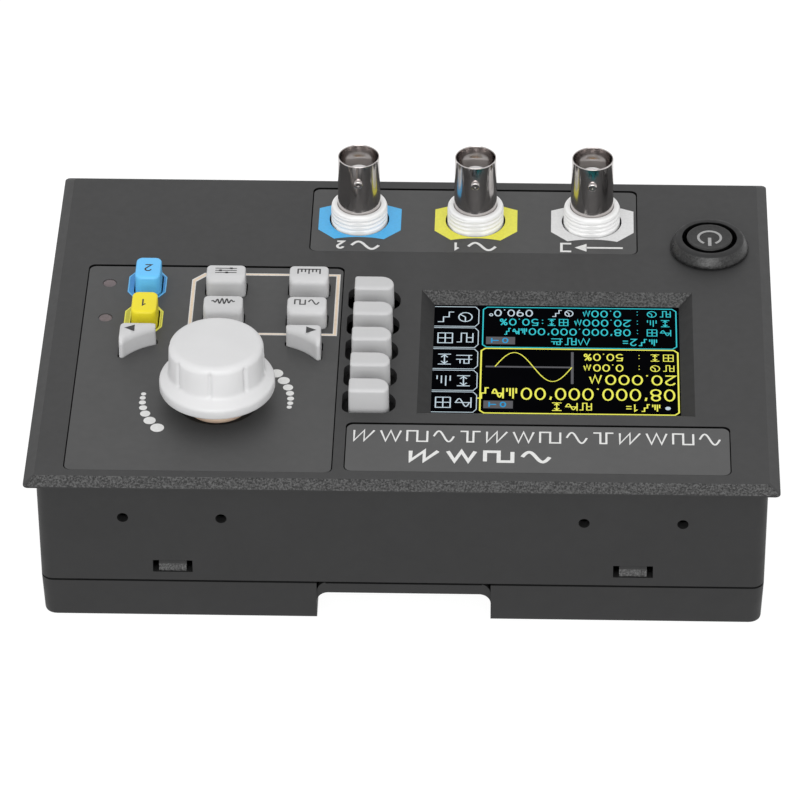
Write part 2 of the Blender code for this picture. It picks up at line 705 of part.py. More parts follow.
# ---------------------------------------------------------------- power button
def power_button():
    bm = bmesh.new()
    turned(bm, POWER_XY, [
        (5.75, 27.0), (POWER_BARREL_R, 27.0), (POWER_BARREL_R, 39.9), (9.2, 39.9), (9.2, 40.3),
        (8.2, 42.2), (7.6, 42.9), (POWER_BORE_R, 42.9), (POWER_BORE_R, 38.5), (5.75, 38.5),
    ], 24)
    node("power_bezel", bm, "button_black", smooth=True)

    bm = bmesh.new()
    turned(bm, POWER_XY, [(0.0, 30.0), (POWER_CAP_R, 30.0), (POWER_CAP_R, POWER_CAP_TOP - 0.3),
                          (POWER_CAP_R - 0.3, POWER_CAP_TOP), (0.0, POWER_CAP_TOP - 0.3)], 24)
    node("power_cap", bm, "button_black", origin=(*POWER_XY, POWER_CAP_TOP), smooth=True)

    bm = bmesh.new()
    turned(bm, POWER_XY, [(7.4, 34.6), (8.9, 34.6), (8.9, 37.1), (7.4, 37.1)], 16)
    node("power_nut", bm, "button_black", smooth=True)

    bm = bmesh.new()
    prism(bm, rounded_box(POWER_XY, (6.2, 6.2), 0.8, 2), MAIN_BOARD_Z[1] + GAP, 26.7)
    node("power_switch", bm, "socket_black")


# ---------------------------------------------------------------- display and lights
def display():
    bm = bmesh.new()
    prism(bm, rounded_box(SCREEN_XY, GLASS_HALF, 0.6, 2), *GLASS_Z)
    node("display_glass", bm, "glass")
    bm = bmesh.new()
    prism(bm, rounded_box(SCREEN_XY, MODULE_HALF, 1.0, 2), FRONT_BOARD_Z[1] + GAP, 35.6)
    node("display_module", bm, "steel")


def light_pipes():
    for number, place in enumerate(LIGHT_XY, 1):
        bm = bmesh.new()
        turned(bm, place, [(0.0, 31.2), (1.4, 31.2), (1.4, 36.2), (2.3, 36.2), (2.3, 37.0), (LIGHT_R, 37.0),
                           (LIGHT_R, 39.45), (0.0, 39.45)], 10)
        node(f"light_pipe_{number}", bm, "light_pipe", smooth=True)


# ---------------------------------------------------------------- boards, screws and sockets
def screw_name(board, number):
    return f"{board}_screw_{number}"


def boards():
    bm = bmesh.new()
    x0, y0, x1, y1 = FRONT_BOARD
    box(bm, (x0, y0, FRONT_BOARD_Z[0]), (x1, y1, FRONT_BOARD_Z[1]))
    front = node("front_board", bm, "board")
    switches = bmesh.new()
    for _, outline, _, _ in key_plan():
        xs = [p[0] for p in outline]
        ys = [p[1] for p in outline]
        middle = ((min(xs) + max(xs)) / 2, sum(ys) / len(ys))
        box(switches, (middle[0] - SWITCH_HALF, middle[1] - SWITCH_HALF, FRONT_BOARD_Z[1] - 0.5),
            (middle[0] + SWITCH_HALF, middle[1] + SWITCH_HALF, SWITCH_TOP))
    combine(front, "UNION", helper("front_switches", switches))
    combine(front, "DIFFERENCE", helper("front_board_holes", screw_cuts(FRONT_POSTS, FRONT_BOARD_Z)))

    bm = bmesh.new()
    width, depth = MAIN_BOARD_HALF
    box(bm, (-width, -depth, MAIN_BOARD_Z[0]), (width, depth, MAIN_BOARD_Z[1]))
    main = node("main_board", bm, "board")
    holes = screw_cuts(MAIN_POSTS, MAIN_BOARD_Z)
    chips = bmesh.new()
    for x, y, w, d, h in CHIPS:
        box(chips, (x - w, y - d, MAIN_BOARD_Z[1] - 0.5), (x + w, y + d, MAIN_BOARD_Z[1] + h))
    combine(main, "UNION", helper("main_chips", chips))
    combine(main, "DIFFERENCE", helper("main_board_holes", holes))

    for board, posts, levels in (("main", MAIN_POSTS, MAIN_BOARD_Z), ("front", FRONT_POSTS, FRONT_BOARD_Z)):
        length = 7.0 if board == "main" else 4.6
        for number, place in enumerate(posts, 1):
            bm = bmesh.new()
            head = levels[0] - GAP
            turned(bm, place, [(0.0, head - 1.3), (2.1, head - 1.3), (2.5, head - 0.8), (2.5, head),
                               (SCREW_R, head), (SCREW_R, levels[1] + length), (0.0, levels[1] + length)], 8)
            node(screw_name(board, number), bm, "steel", smooth=True)


def screw_cuts(posts, levels):
    bm = bmesh.new()
    for place in posts:
        prism(bm, circle(place, SCREW_HOLE_R, 8), levels[0] - 1, levels[1] + 1)
    return bm


def sockets():
    face = SOCKET_WALL_X
    low = MAIN_BOARD_Z[1] + GAP
    bm = bmesh.new()
    box(bm, (face + 2.7, JACK_Y - 4.6, low), (face + 15.0, JACK_Y + 4.6, JACK_Z + 5.0))
    jack = node("power_socket", bm, "socket_black")
    nose = bmesh.new()
    across_x(nose, (JACK_Y, JACK_Z), 3.9, face + 0.3, face + 4.0, 20)
    combine(jack, "UNION", helper("power_socket_nose", nose))
    bore = bmesh.new()
    across_x(bore, (JACK_Y, JACK_Z), 2.9, face - 1.0, face + 11.0, 16)
    combine(jack, "DIFFERENCE", helper("power_socket_bore", bore))
    pin = bmesh.new()
    across_x(pin, (JACK_Y, JACK_Z), 1.0, face + 2.0, face + 12.0, 10)
    combine(jack, "UNION", helper("power_socket_pin", pin))

    bm = bmesh.new()
    box(bm, (face + 0.6, USB_Y - 6.0, low), (face + 16.6, USB_Y + 6.0, USB_Z + 5.5))
    usb = node("usb_socket", bm, "nickel")
    mouth = bmesh.new()
    outline = [(USB_Y - 4.2, USB_Z - 3.9), (USB_Y + 4.2, USB_Z - 3.9), (USB_Y + 4.2, USB_Z + 2.4),
               (USB_Y + 2.7, USB_Z + 3.9), (USB_Y - 2.7, USB_Z + 3.9), (USB_Y - 4.2, USB_Z + 2.4)]
    ends = [[mouth.verts.new((x * MM, y * MM, z * MM)) for y, z in outline] for x in (face - 1, face + 9.5)]
    bridge(mouth, ends[0], ends[1])
    mouth.faces.new(list(reversed(ends[0])))
    mouth.faces.new(ends[1])
    combine(usb, "DIFFERENCE", helper("usb_mouth", mouth))
    tongue = bmesh.new()
    box(tongue, (face + 1.6, USB_Y - 2.8, USB_Z - 1.6), (face + 10.5, USB_Y + 2.8, USB_Z + 1.6))
    combine(usb, "UNION", helper("usb_tongue", tongue))


def build():
    for item in list(bpy.data.objects):
        bpy.data.objects.remove(item, do_unlink=True)
    top_cover()
    base_tray()
    label_films()
    for name, outline, slot, finish in key_plan():
        key_cap(name, outline, slot, finish)
    knob()
    encoder()
    for name, x in COAX_X.items():
        coax_connector(name, x)
    power_button()
    display()
    light_pipes()
    boards()
    sockets()


build()
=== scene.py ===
"""The looks of the function generator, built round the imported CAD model.

Sizes here are millimetres in the CAD frame: +X to the user's right, +Y up the panel and
+Z out of it. Places come from the CAD nodes' boxes. Meshes turn into metres when made.
"""
from functools import partial
from math import cos, exp, hypot, pi, radians, sin, sqrt, tan, tau

import bmesh
import bpy
from mathutils import Matrix, Vector


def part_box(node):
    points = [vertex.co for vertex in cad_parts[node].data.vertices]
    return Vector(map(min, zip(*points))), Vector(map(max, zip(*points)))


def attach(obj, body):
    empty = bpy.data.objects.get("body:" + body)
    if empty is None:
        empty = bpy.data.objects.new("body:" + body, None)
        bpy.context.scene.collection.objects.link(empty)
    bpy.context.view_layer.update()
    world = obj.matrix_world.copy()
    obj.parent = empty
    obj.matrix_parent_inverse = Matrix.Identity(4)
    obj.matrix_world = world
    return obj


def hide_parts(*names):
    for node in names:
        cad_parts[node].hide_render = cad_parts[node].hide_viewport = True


MM = 0.001
DATUM = 0.5                       # the CAD measures its heights from this far above the underside
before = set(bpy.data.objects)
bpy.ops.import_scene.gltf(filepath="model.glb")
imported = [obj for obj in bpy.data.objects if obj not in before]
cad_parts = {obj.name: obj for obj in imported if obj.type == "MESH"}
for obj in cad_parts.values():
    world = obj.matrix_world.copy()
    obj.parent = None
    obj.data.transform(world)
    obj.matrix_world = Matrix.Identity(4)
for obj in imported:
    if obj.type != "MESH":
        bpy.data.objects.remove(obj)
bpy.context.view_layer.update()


# ---------------------------------------------------------------- places from the frame
class Span:
    """A CAD node's box in millimetres, with heights from the datum."""

    def __init__(self, name):
        low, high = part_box(name)
        self.low = [low[0] / MM, low[1] / MM, low[2] / MM - DATUM]
        self.high = [high[0] / MM, high[1] / MM, high[2] / MM - DATUM]
        self.mid = [(a + b) / 2 for a, b in zip(self.low, self.high)]
        self.half = [(b - a) / 2 for a, b in zip(self.low, self.high)]
        self.foot, self.top = self.low[2], self.high[2]


COVER = Span("top_cover")
TRAY = Span("base_tray")
KNOB = Span("knob")
PANEL_Z = COVER.top
FLANGE_HALF = (COVER.high[0], COVER.high[1])
WALL_HALF = (TRAY.high[0], TRAY.high[1])
KNOB_XY = (KNOB.mid[0], KNOB.mid[1])

# Case details
GAP = 0.3
PANEL_UNDER = PANEL_Z - 2.2
WALL = 2.2
SKIRT_TOP_HALF = (81.5, 58.8)
FLANGE_Z = PANEL_Z - 1.9
FLANGE_LIP = 0.4
FLANGE_BEVEL = 2.4
SPLIT_Z = COVER.foot
CORNER_R = 2.8
TRAY_LOW_HALF = (81.0, 58.3)
TRAY_FOOT_HALF = (80.6, 57.8)
CHANNEL_X = -0.35
CHANNEL_HALF = 19.6
CHANNEL_TOP = 6.65
CHANNEL_FILLET = 2.6
CHANNEL_SETBACK = 0.4
POCKET_SIZE = (2.4, 2.75)
POCKET_DEPTH = 3.0
HOOK_X = (-51.85, 51.5)
HOOK_HALF = 3.1
HOOK_BARB = 3.0
WINDOW_HALF = 4.45
WINDOW_Z = (12.3, 15.6)
SIDE_HOLE_X = (-62.7, -40.7, 40.3, 62.3)
SIDE_HOLE_Z = 27.65
SIDE_HOLE_R = 1.25
RECESS_DEPTH = 0.7
FILM_GAPS = (0.25, 0.7, 0.1)      # film to recess at the sides, the lower end and the upper end
FILM_TOP = Span("control_film").top
FILM_CORNER = 1.6
SCREEN_HALF = (28.3, 21.25)
SCREEN_BEVEL = 3.1
SCREEN_EDGE = 0.15
COAX_HOLE_R = 7.05
ENCODER_HOLE_R = 3.9
ENCODER_SINK_R = 9.5
ENCODER_SINK = 1.6
POWER_HOLE_R = 7.3
LIGHT_HOLE_R = 1.58
JACK = Span("power_socket")
USB = Span("usb_socket")
JACK_Z = 21.4
JACK_HOLE_R = 4.3
USB_Z = 21.6
USB_HOLE_HALF = (6.3, 5.8)
POST_R = 2.6                      # the cover's screw posts, and where they begin above a board's foot
POST_RISE = 1.9
SCREW_HOLE_R = 1.6

# Keys
KEY_UNDER = 36.2
KEY_FLANGE_TOP = 36.9
KEY_FLANGE = 0.45                 # how far a key's hidden flange reaches past its slot
KEY_CLEAR = 0.3
KEY_RADIUS = 1.25
SOFT_CLEAR = (1.45, 1.75)
SOFT_RADII = (0.7, 1.7, 3.1, 0.7)
SOFT_SIZE = (9.25, 5.15)
CURSOR_AXIS = 42.75
CURSOR_NEAR = 14.9
CURSOR_FAR = 23.15
CURSOR_Y = (6.9, 8.4, 14.6)       # straight edge, short side end, long side end
CURSOR_BOW = 0.7
CURSOR_LEAST = 0.4                # the least height of the short side, near the top of the cap
CHANNEL_RADIUS = 1.6
KEY_DRAFT = 0.1
SOFT_KEYS = [f"key_soft_{i}" for i in range(1, 6)]
FUNCTION_KEYS = ["key_sys", "key_meas", "key_mod", "key_wave"]
CHANNEL_KEYS = ["key_channel_1", "key_channel_2"]
CURSOR_KEYS = ["key_cursor_right", "key_cursor_left"]
ALL_KEYS = SOFT_KEYS + FUNCTION_KEYS + CHANNEL_KEYS + CURSOR_KEYS
COAX_NAMES = ["ch1", "ch2", "ext"]
LIGHTS = ["light_pipe_1", "light_pipe_2"]
FILMS = ["control_film", "connector_film", "title_film"]


# ---------------------------------------------------------------- outlines
def polar(centre, radius, angle):
    return (centre[0] + radius * cos(angle), centre[1] + radius * sin(angle))


def arc(centre, radius, start, end, steps):
    return [polar(centre, radius, start + (end - start) * i / steps) for i in range(steps + 1)]


def rounded_box(centre, half, radii, steps=8):
    """Anticlockwise outline; radii are for the +X+Y, -X+Y, -X-Y and +X-Y corners."""
    if not isinstance(radii, tuple):
        radii = (radii,) * 4
    signs = ((1, 1), (-1, 1), (-1, -1), (1, -1))
    points = []
    for i, ((sx, sy), radius) in enumerate(zip(signs, radii)):
        middle = (centre[0] + sx * (half[0] - radius), centre[1] + sy * (half[1] - radius))
        points += arc(middle, radius, i * pi / 2, (i + 1) * pi / 2, steps)
    return points


def circle(centre, radius, steps=48):
    return arc(centre, radius, 0.0, tau, steps)[:-1]


def grown(outline, distance):
    """Move each side of a closed anticlockwise outline outwards by a distance."""
    count = len(outline)
    result = []
    for i in range(count):
        here = Vector(outline[i])
        before = (here - Vector(outline[i - 1])).normalized()
        after = (Vector(outline[(i + 1) % count]) - here).normalized()
        normal = Vector((before.y + after.y, -before.x - after.x)).normalized()
        lean = max(0.5, normal.dot(Vector((before.y, -before.x))))
        moved = here + normal * (distance / lean)
        result.append((moved.x, moved.y))
    return result


def cut_corners(centre, half, near, far):
    """An octagon. near and far are the (x, y) cuts of the +Y and -Y corners."""
    x, y = half
    corners = [(x, y - near[1]), (x - near[0], y), (near[0] - x, y), (-x, y - near[1]),
               (-x, far[1] - y), (far[0] - x, -y), (x - far[0], -y), (x, far[1] - y)]
    return [(centre[0] + a, centre[1] + b) for a, b in corners]


def middle_of(outline):
    xs = [p[0] for p in outline]
    ys = [p[1] for p in outline]
    return ((min(xs) + max(xs)) / 2, (min(ys) + max(ys)) / 2)


def scaled(outline, factor):
    x, y = middle_of(outline)
    return [(x + (a - x) * factor, y + (b - y) * factor) for a, b in outline]


def fillet(before, corner, after, radius, steps):
    """The round that replaces one corner of a polygon."""
    corner = Vector(corner)
    one = (Vector(before) - corner).normalized()
    two = (Vector(after) - corner).normalized()
    half = one.angle(two) / 2
    middle = corner + (one + two).normalized() * (radius / sin(half))
    start = corner + one * (radius / tan(half)) - middle
    turn = pi - 2 * half
    points = []
    for i in range(steps + 1):
        point = start.copy()
        point.rotate(Matrix.Rotation(turn * i / steps, 2))
        points.append((middle.x + point.x, middle.y + point.y))
    return points


# ---------------------------------------------------------------- solids
def ring(bm, outline, z):
    return [bm.verts.new((x, y, z)) for x, y in outline]


def bridge(bm, lower, upper):
    count = len(lower)
    for i in range(count):
        j = (i + 1) % count
        bm.faces.new((lower[i], lower[j], upper[j], upper[i]))


def stack(bm, levels, closed=False):
    """A solid through (outline, z) levels; closed joins the last level to the first."""
    rings = [ring(bm, outline, z) for outline, z in levels]
    for lower, upper in zip(rings, rings[1:]):
        bridge(bm, lower, upper)
    if closed:
        bridge(bm, rings[-1], rings[0])
    else:
        bm.faces.new(list(reversed(rings[0])))
        bm.faces.new(rings[-1])


def prism(bm, outline, z0, z1):
    stack(bm, [(outline, z0), (outline, z1)])


def box(bm, low, high):
    prism(bm, [(low[0], low[1]), (high[0], low[1]), (high[0], high[1]), (low[0], high[1])], low[2], high[2])


def turned(bm, centre, profile, steps=72, shape=None):
    """Revolve a closed (radius, z) profile. shape(angle, radius, z) gives the true radius."""
    rows = []
    for radius, z in profile:
        if radius == 0:
            rows.append([bm.verts.new((centre[0], centre[1], z))] * steps)
            continue
        row = []
        for i in range(steps):
            angle = tau * i / steps
            r = shape(angle, radius, z) if shape else radius
            row.append(bm.verts.new((*polar(centre, r, angle), z)))
        rows.append(row)
    for here, after in zip(rows, rows[1:] + rows[:1]):
        for i in range(steps):
            j = (i + 1) % steps
            corners = []
            for vertex in (here[i], here[j], after[j], after[i]):
                if vertex not in corners:
                    corners.append(vertex)
            if len(corners) > 2:
                bm.faces.new(corners)


def bar(bm, axis, outline, start, end):
    """A prism along X or Y from an outline in the other two directions."""
    ends = []
    for at in (start, end):
        if axis == "x":
            ends.append([bm.verts.new((at, a, b)) for a, b in outline])
        else:
            ends.append([bm.verts.new((a, at, b)) for a, b in outline])
    bridge(bm, ends[0], ends[1])
    bm.faces.new(list(reversed(ends[0])))
    bm.faces.new(ends[1])


def rounding(radius, steps):
    """(inset, drop) pairs that round an edge, from the side to the flat."""
    result = []
    for i in range(steps + 1):
        angle = pi / 2 * i / steps
        result.append((radius * (1 - cos(angle)), radius * (1 - sin(angle))))
    return result


def ribbon(bm, points, width, z0, z1, closed=False):
    """A flat strip of even width along a line, as a thin closed solid."""
    count = len(points)
    rows = []
    for i in range(count):
        here = Vector(points[i])
        ways = []
        if closed or i:
            ways.append((here - Vector(points[i - 1])).normalized())
        if closed or i < count - 1:
            ways.append((Vector(points[(i + 1) % count]) - here).normalized())
        way = sum(ways, Vector((0.0, 0.0))).normalized()
        side = Vector((-way.y, way.x))
        lean = max(0.45, side.dot(Vector((-ways[0].y, ways[0].x))))
        step = side * (width / 2 / lean)
        left, right = here + step, here - step
        rows.append([bm.verts.new((left.x, left.y, z1)), bm.verts.new((right.x, right.y, z1)),
                     bm.verts.new((right.x, right.y, z0)), bm.verts.new((left.x, left.y, z0))])
    pairs = list(zip(rows, rows[1:] + rows[:1])) if closed else list(zip(rows, rows[1:]))
    for here, after in pairs:
        bridge(bm, here, after)
    if not closed:
        bm.faces.new(list(reversed(rows[0])))
        bm.faces.new(rows[-1])


def plate(bm, loops, z0, z1):
    """A thin closed solid from an outline and the holes in it."""
    flat = bmesh.new()
    edges = []
    for loop in loops:
        verts = [flat.verts.new((x, y, z0)) for x, y in loop]
        edges += [flat.edges.new((verts[i - 1], verts[i])) for i in range(len(verts))]
    bmesh.ops.triangle_fill(flat, use_beauty=True, use_dissolve=False, edges=edges)
    raised = bmesh.ops.extrude_face_region(flat, geom=list(flat.faces))
    bmesh.ops.translate(flat, verts=[v for v in raised["geom"] if isinstance(v, bmesh.types.BMVert)],
                        vec=(0, 0, z1 - z0))
    bmesh.ops.recalc_face_normals(flat, faces=flat.faces)
    mesh = bpy.data.meshes.new("scratch")
    flat.to_mesh(mesh)
    flat.free()
    bm.from_mesh(mesh)
    bpy.data.meshes.remove(mesh)


def numeral(bm, mark, centre, size, weight, z0, z1):
    """One of FIGURES, drawn in a box about centre."""
    for stroke in FIGURES[mark][0]:
        points = [(centre[0] + size[0] * (a - 0.5), centre[1] + size[1] * (b - 0.5)) for a, b in stroke]
        ribbon(bm, points, weight, z0, z1)


def solid(build, *shape, **options):
    """A new bmesh that holds one solid, such as solid(prism, outline, 0, 1)."""
    bm = bmesh.new()
    build(bm, *shape, **options)
    return bm


def joined(prisms):
    """One bmesh of several prisms: (outline, z0, z1)."""
    bm = bmesh.new()
    for shape in prisms:
        prism(bm, *shape)
    return bm


# ---------------------------------------------------------------- pieces
def linked(name, data):
    """A new object in the scene."""
    made = bpy.data.objects.new(name, data)
    bpy.context.scene.collection.objects.link(made)
    return made


def meshed(name, bm):
    """An object in metres over the underside, from a bmesh in millimetres over the datum."""
    bmesh.ops.recalc_face_normals(bm, faces=bm.faces)
    bmesh.ops.translate(bm, vec=(0.0, 0.0, DATUM), verts=bm.verts)
    bmesh.ops.scale(bm, vec=(MM, MM, MM), verts=bm.verts)
    mesh = bpy.data.meshes.new(name)
    bm.to_mesh(mesh)
    bm.free()
    return linked(name, mesh)


def piece(name, bm, finish, node=None, body="case", angle=35):
    """Make a visible piece that rides on a CAD body and may replace a CAD node."""
    keys = [finish] if isinstance(finish, str) else finish
    made = meshed(name, bm)
    made.data.shade_smooth()
    made.data.set_sharp_from_angle(angle=radians(angle))
    for key in keys:
        made.data.materials.append(FINISHES[key])
    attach(made, body)
    if node:
        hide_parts(node)
    return made


SOFT_ANGLE = radians(24)          # edges sharper than this are softened


def carved(target, cutters, bevel, segments=2, joins=()):
    """Cut and join solids into a piece, then soften its edges, and keep the result as its mesh."""
    tools = []
    for operation, bm in [("UNION", j) for j in joins] + [("DIFFERENCE", c) for c in cutters]:
        tool = meshed("tool", bm)
        modifier = target.modifiers.new("carve", "BOOLEAN")
        modifier.operation = operation
        modifier.object = tool
        modifier.solver = "EXACT"
        tools.append(tool)
    modifier = target.modifiers.new("soft_edges", "BEVEL")
    modifier.width = bevel * MM
    modifier.segments = segments
    modifier.limit_method = "ANGLE"
    modifier.angle_limit = SOFT_ANGLE
    modifier.harden_normals = True
    modifier.use_clamp_overlap = True
    modifier.miter_outer = "MITER_ARC"
    bpy.context.view_layer.update()
    graph = bpy.context.evaluated_depsgraph_get()
    made = bpy.data.meshes.new_from_object(target.evaluated_get(graph), depsgraph=graph)
    old = target.data
    target.modifiers.clear()
    target.data = made
    made.name = target.name
    bpy.data.meshes.remove(old)
    for tool in tools:
        mesh = tool.data
        bpy.data.objects.remove(tool)
        bpy.data.meshes.remove(mesh)


# ---------------------------------------------------------------- materials
class Graph:
    """A short way to write a material's nodes."""

    def __init__(self, name):
        self.material = bpy.data.materials.new(name)
        self.material.use_nodes = True
        self.tree = self.material.node_tree
        self.shader = self.tree.nodes["Principled BSDF"]
        self.place = self.tree.nodes.new("ShaderNodeTexCoord").outputs["Object"]

    def node(self, kind, **inputs):
        return self.fill(self.tree.nodes.new("ShaderNode" + kind), inputs)

    def fill(self, node, inputs):
        """Give inputs their values, or links where the value is another node's output."""
        for name, value in inputs.items():
            socket = node.inputs[name.replace("_", " ")]
            if isinstance(value, bpy.types.NodeSocket):
                self.tree.links.new(value, socket)
            else:
                socket.default_value = value
        return node

    def set(self, **inputs):
        """Fill in the Principled shader and give the material."""
        self.fill(self.shader, inputs)
        return self.material

    def noise(self, size, detail=2.0, roughness=0.5, stretch=None):
        """Noise whose blotches are about that many millimetres across."""
        place = self.place
        if stretch:
            place = self.node("Mapping", Vector=place, Scale=stretch).outputs["Vector"]
        node = self.node("TexNoise", Vector=place, Scale=1 / (size * MM), Detail=detail, Roughness=roughness)
        return node.outputs["Fac"]

    def cells(self, size):
        return self.node("TexVoronoi", Vector=self.place, Scale=1 / (size * MM)).outputs["Distance"]

    def ramp(self, factor, low, high, start=0.35, end=0.65):
        """Blend from one number or colour to another between two factors."""
        node = self.tree.nodes.new("ShaderNodeValToRGB")
        stops = node.color_ramp.elements
        for stop, position, value in ((stops[0], start, low), (stops[1], end, high)):
            stop.position = position
            colour = value if isinstance(value, tuple) else (value, value, value)
            stop.color = (*colour, 1.0)
        self.tree.links.new(factor, node.inputs["Fac"])
        return node.outputs["Color"]

    def bump(self, height, strength, distance):
        """A normal for the shader."""
        return self.node("Bump", Height=height, Strength=strength, Distance=distance * MM).outputs["Normal"]


def shade(colour, factor):
    return tuple(min(1.0, c * factor) for c in colour)


def moulded(name, colour, roughness, grain=0.18, depth=0.02, strength=0.5, mottle=0.06, spread=0.07,
            shine=0.5):
    """Plastic with a fine moulded texture, slight mottling and uneven gloss."""
    g = Graph(name)
    return g.set(
        Specular_IOR_Level=shine,
        Base_Color=g.ramp(g.noise(9.0, 3.0), shade(colour, 1 - mottle), shade(colour, 1 + mottle)),
        Roughness=g.ramp(g.noise(2.2, 4.0), roughness - spread, roughness + spread),
        Normal=g.bump(g.noise(grain, 2.0, 0.6), strength, depth))


def printed(name, colour):
    """Screen-printed ink: slightly uneven cover over a satin film."""
    g = Graph(name)
    return g.set(Base_Color=g.ramp(g.noise(0.6, 3.0), shade(colour, 0.95), shade(colour, 1.03)),
                 Roughness=g.ramp(g.noise(0.25), 0.37, 0.47))


def grained(name, dark, light, roughness, size=0.42, strength=0.5, depth=0.04, shine=0.5):
    """Coarse moulded grain: light and dark flecks over a rough surface."""
    g = Graph(name)
    return g.set(
        Specular_IOR_Level=shine,
        Base_Color=g.ramp(g.noise(size, 3.0, 0.75), dark, light, 0.42, 0.62),
        Roughness=g.ramp(g.noise(1.5, 3.0), roughness - 0.06, roughness + 0.06),
        Normal=g.bump(g.noise(size * 0.75, 2.0, 0.7), strength, depth))


def plated(name, colour, roughness, size=0.5, metal=1.0):
    """Plated metal with faint turning marks and a little uneven gloss."""
    g = Graph(name)
    brush = (1.0, 1.0, 0.08)
    return g.set(
        Metallic=metal,
        Base_Color=g.ramp(g.noise(3.0, 2.0), shade(colour, 0.94), shade(colour, 1.04)),
        Roughness=g.ramp(g.noise(size, 4.0, 0.6, brush), roughness - 0.05, roughness + 0.05),
        Normal=g.bump(g.noise(size, 3.0, 0.5, brush), 0.08, 0.01))


def glowing(name, colour):
    """Lit pixels of the display, with a faint pixel raster."""
    g = Graph(name)
    return g.set(Roughness=0.3, Specular_IOR_Level=0.0, Base_Color=(*shade(colour, 0.05), 1.0),
                 Emission_Strength=0.9,
                 Emission_Color=g.ramp(g.noise(0.35, 1.0), shade(colour, 0.9), colour))


# The finishes, by key
FINISHES = {}
INKS = {
    "white": (0.73, 0.73, 0.72), "black": (0.02, 0.02, 0.022), "tan": (0.77, 0.62, 0.47),
    "blue": (0.035, 0.26, 0.58), "blue_edge": (0.14, 0.48, 0.78),
    "yellow": (0.52, 0.50, 0.03), "yellow_edge": (0.80, 0.77, 0.09),
    "plate_blue": (0.075, 0.44, 0.81), "plate_yellow": (0.79, 0.755, 0.075),
    "plate_grey": (0.72, 0.72, 0.72), "symbol": (0.33, 0.33, 0.33),
}
PIXELS = {
    "yellow": (0.95, 0.94, 0.13), "cyan": (0.05, 0.62, 0.69), "white": (0.62, 0.74, 0.82),
    "grey": (0.12, 0.12, 0.13), "blue": (0.03, 0.36, 0.72),
}


def make_finishes():
    shell = {"roughness": 0.56, "grain": 0.22, "strength": 0.35}
    thin = {"roughness": 0.5, "grain": 0.5, "depth": 0.012, "strength": 0.3, "mottle": 0.03, "spread": 0.03}
    soft = {"grain": 0.3, "depth": 0.008, "strength": 0.25, "mottle": 0.02}
    FINISHES.update({
        "case": moulded("case_plastic", (0.030, 0.030, 0.0305), mottle=0.03, spread=0.025, **shell),
        # the walls' finish is a darker copy of the case plastic: painted shade on the walls, the cover's
        # skirt and the display's side slopes
        "walls": moulded("case_walls_painted_shade", (0.0158, 0.0158, 0.0161), mottle=0.04, spread=0.03, shine=0.32,
                         **shell),
        "slopes": grained("case_slopes", 0.008, 0.095, 0.56, size=0.45, strength=0.7, depth=0.06),
        # the recess finish is near black: painted shadow in the gaps round the films
        "recess": moulded("case_recess_painted_shade", (0.004, 0.004, 0.004), 0.7, shine=0.1),
        "film": moulded("label_film", (0.053, 0.053, 0.0535), **thin),
        "title": moulded("title_film", (0.069, 0.069, 0.0695), **thin),
        "key": moulded("key_plastic", (0.57, 0.57, 0.575), 0.42, **soft),
        "key_soft": moulded("key_soft_plastic", (0.53, 0.53, 0.535), 0.42, **soft),
        "key_blue": moulded("key_blue_plastic", (0.13, 0.53, 0.94), 0.42, **soft),
        "key_yellow": moulded("key_yellow_plastic", (0.82, 0.70, 0.025), 0.42, shine=0.3, **soft),
        "knob": moulded("knob_plastic", (0.64, 0.64, 0.645), 0.4, **soft),
        "white": moulded("white_plastic", (0.87, 0.87, 0.865), 0.36, **soft),
        "button": moulded("button_plastic", (0.022, 0.022, 0.0225), 0.5, strength=0.4, mottle=0.04,
                          shine=0.28),
        "button_slope": grained("button_slope", 0.003, 0.03, 0.32, size=0.5, strength=0.9, depth=0.07,
                                shine=0.55),
        "button_gloss": moulded("button_ring_gloss", (0.003, 0.003, 0.003), 0.2, strength=0.1, shine=0.25),
        "cap": grained("button_cap", 0.014, 0.028, 0.5, size=0.35, strength=0.4, shine=0.4),
        "nickel": plated("nickel_plate", (0.57, 0.54, 0.53), 0.14),
        "gold": plated("gold_plate", (0.86, 0.60, 0.32), 0.22),
        "nut": plated("nut_plate", (1.0, 0.74, 0.56), 0.4, metal=0.15),
        "steel": plated("zinc_plate", (0.56, 0.56, 0.57), 0.3, size=0.8),
        "socket": moulded("socket_plastic", (0.014, 0.014, 0.014), 0.4),
        "light": lens_material(),
        "board": board_material("circuit_board", (0.012, 0.085, 0.03), (0.03, 0.16, 0.055)),
        "board_dark": board_material("circuit_board_dark", (0.004, 0.004, 0.0045), (0.008, 0.008, 0.009)),
        "glass": screen_material(),
    })
    FINISHES.update({"ink_" + name: printed("ink_" + name, colour) for name, colour in INKS.items()})
    FINISHES.update({"lit_" + name: glowing("lit_" + name, colour) for name, colour in PIXELS.items()})


def lens_material():
    g = Graph("smoky_lens")
    return g.set(Transmission_Weight=0.25, IOR=1.49,
                 Base_Color=g.ramp(g.noise(0.8, 2.0), (0.15, 0.118, 0.122), (0.20, 0.155, 0.16)),
                 Roughness=g.ramp(g.noise(0.5), 0.3, 0.42))


def board_material(name, mask, track):
    """Solder mask with faint copper tracks under it."""
    g = Graph(name)
    tracks = g.cells(3.2)
    return g.set(Base_Color=g.ramp(tracks, track, mask, 0.18, 0.26),
                 Roughness=g.ramp(g.noise(1.0), 0.3, 0.45), Normal=g.bump(tracks, 0.2, 0.05))


def screen_material():
    """The unlit face of the display: near black behind a coated cover, with a trace of backlight."""
    g = Graph("display_black")
    return g.set(Specular_IOR_Level=0.0, Emission_Strength=0.001,
                 Base_Color=g.ramp(g.noise(12.0, 2.0), (0.001, 0.001, 0.0012), (0.0015, 0.0015, 0.002)),
                 Roughness=g.ramp(g.noise(3.0), 0.08, 0.14),
                 Emission_Color=g.ramp(g.noise(20.0, 1.0), (0.3, 0.35, 0.6), (0.4, 0.45, 0.7)))


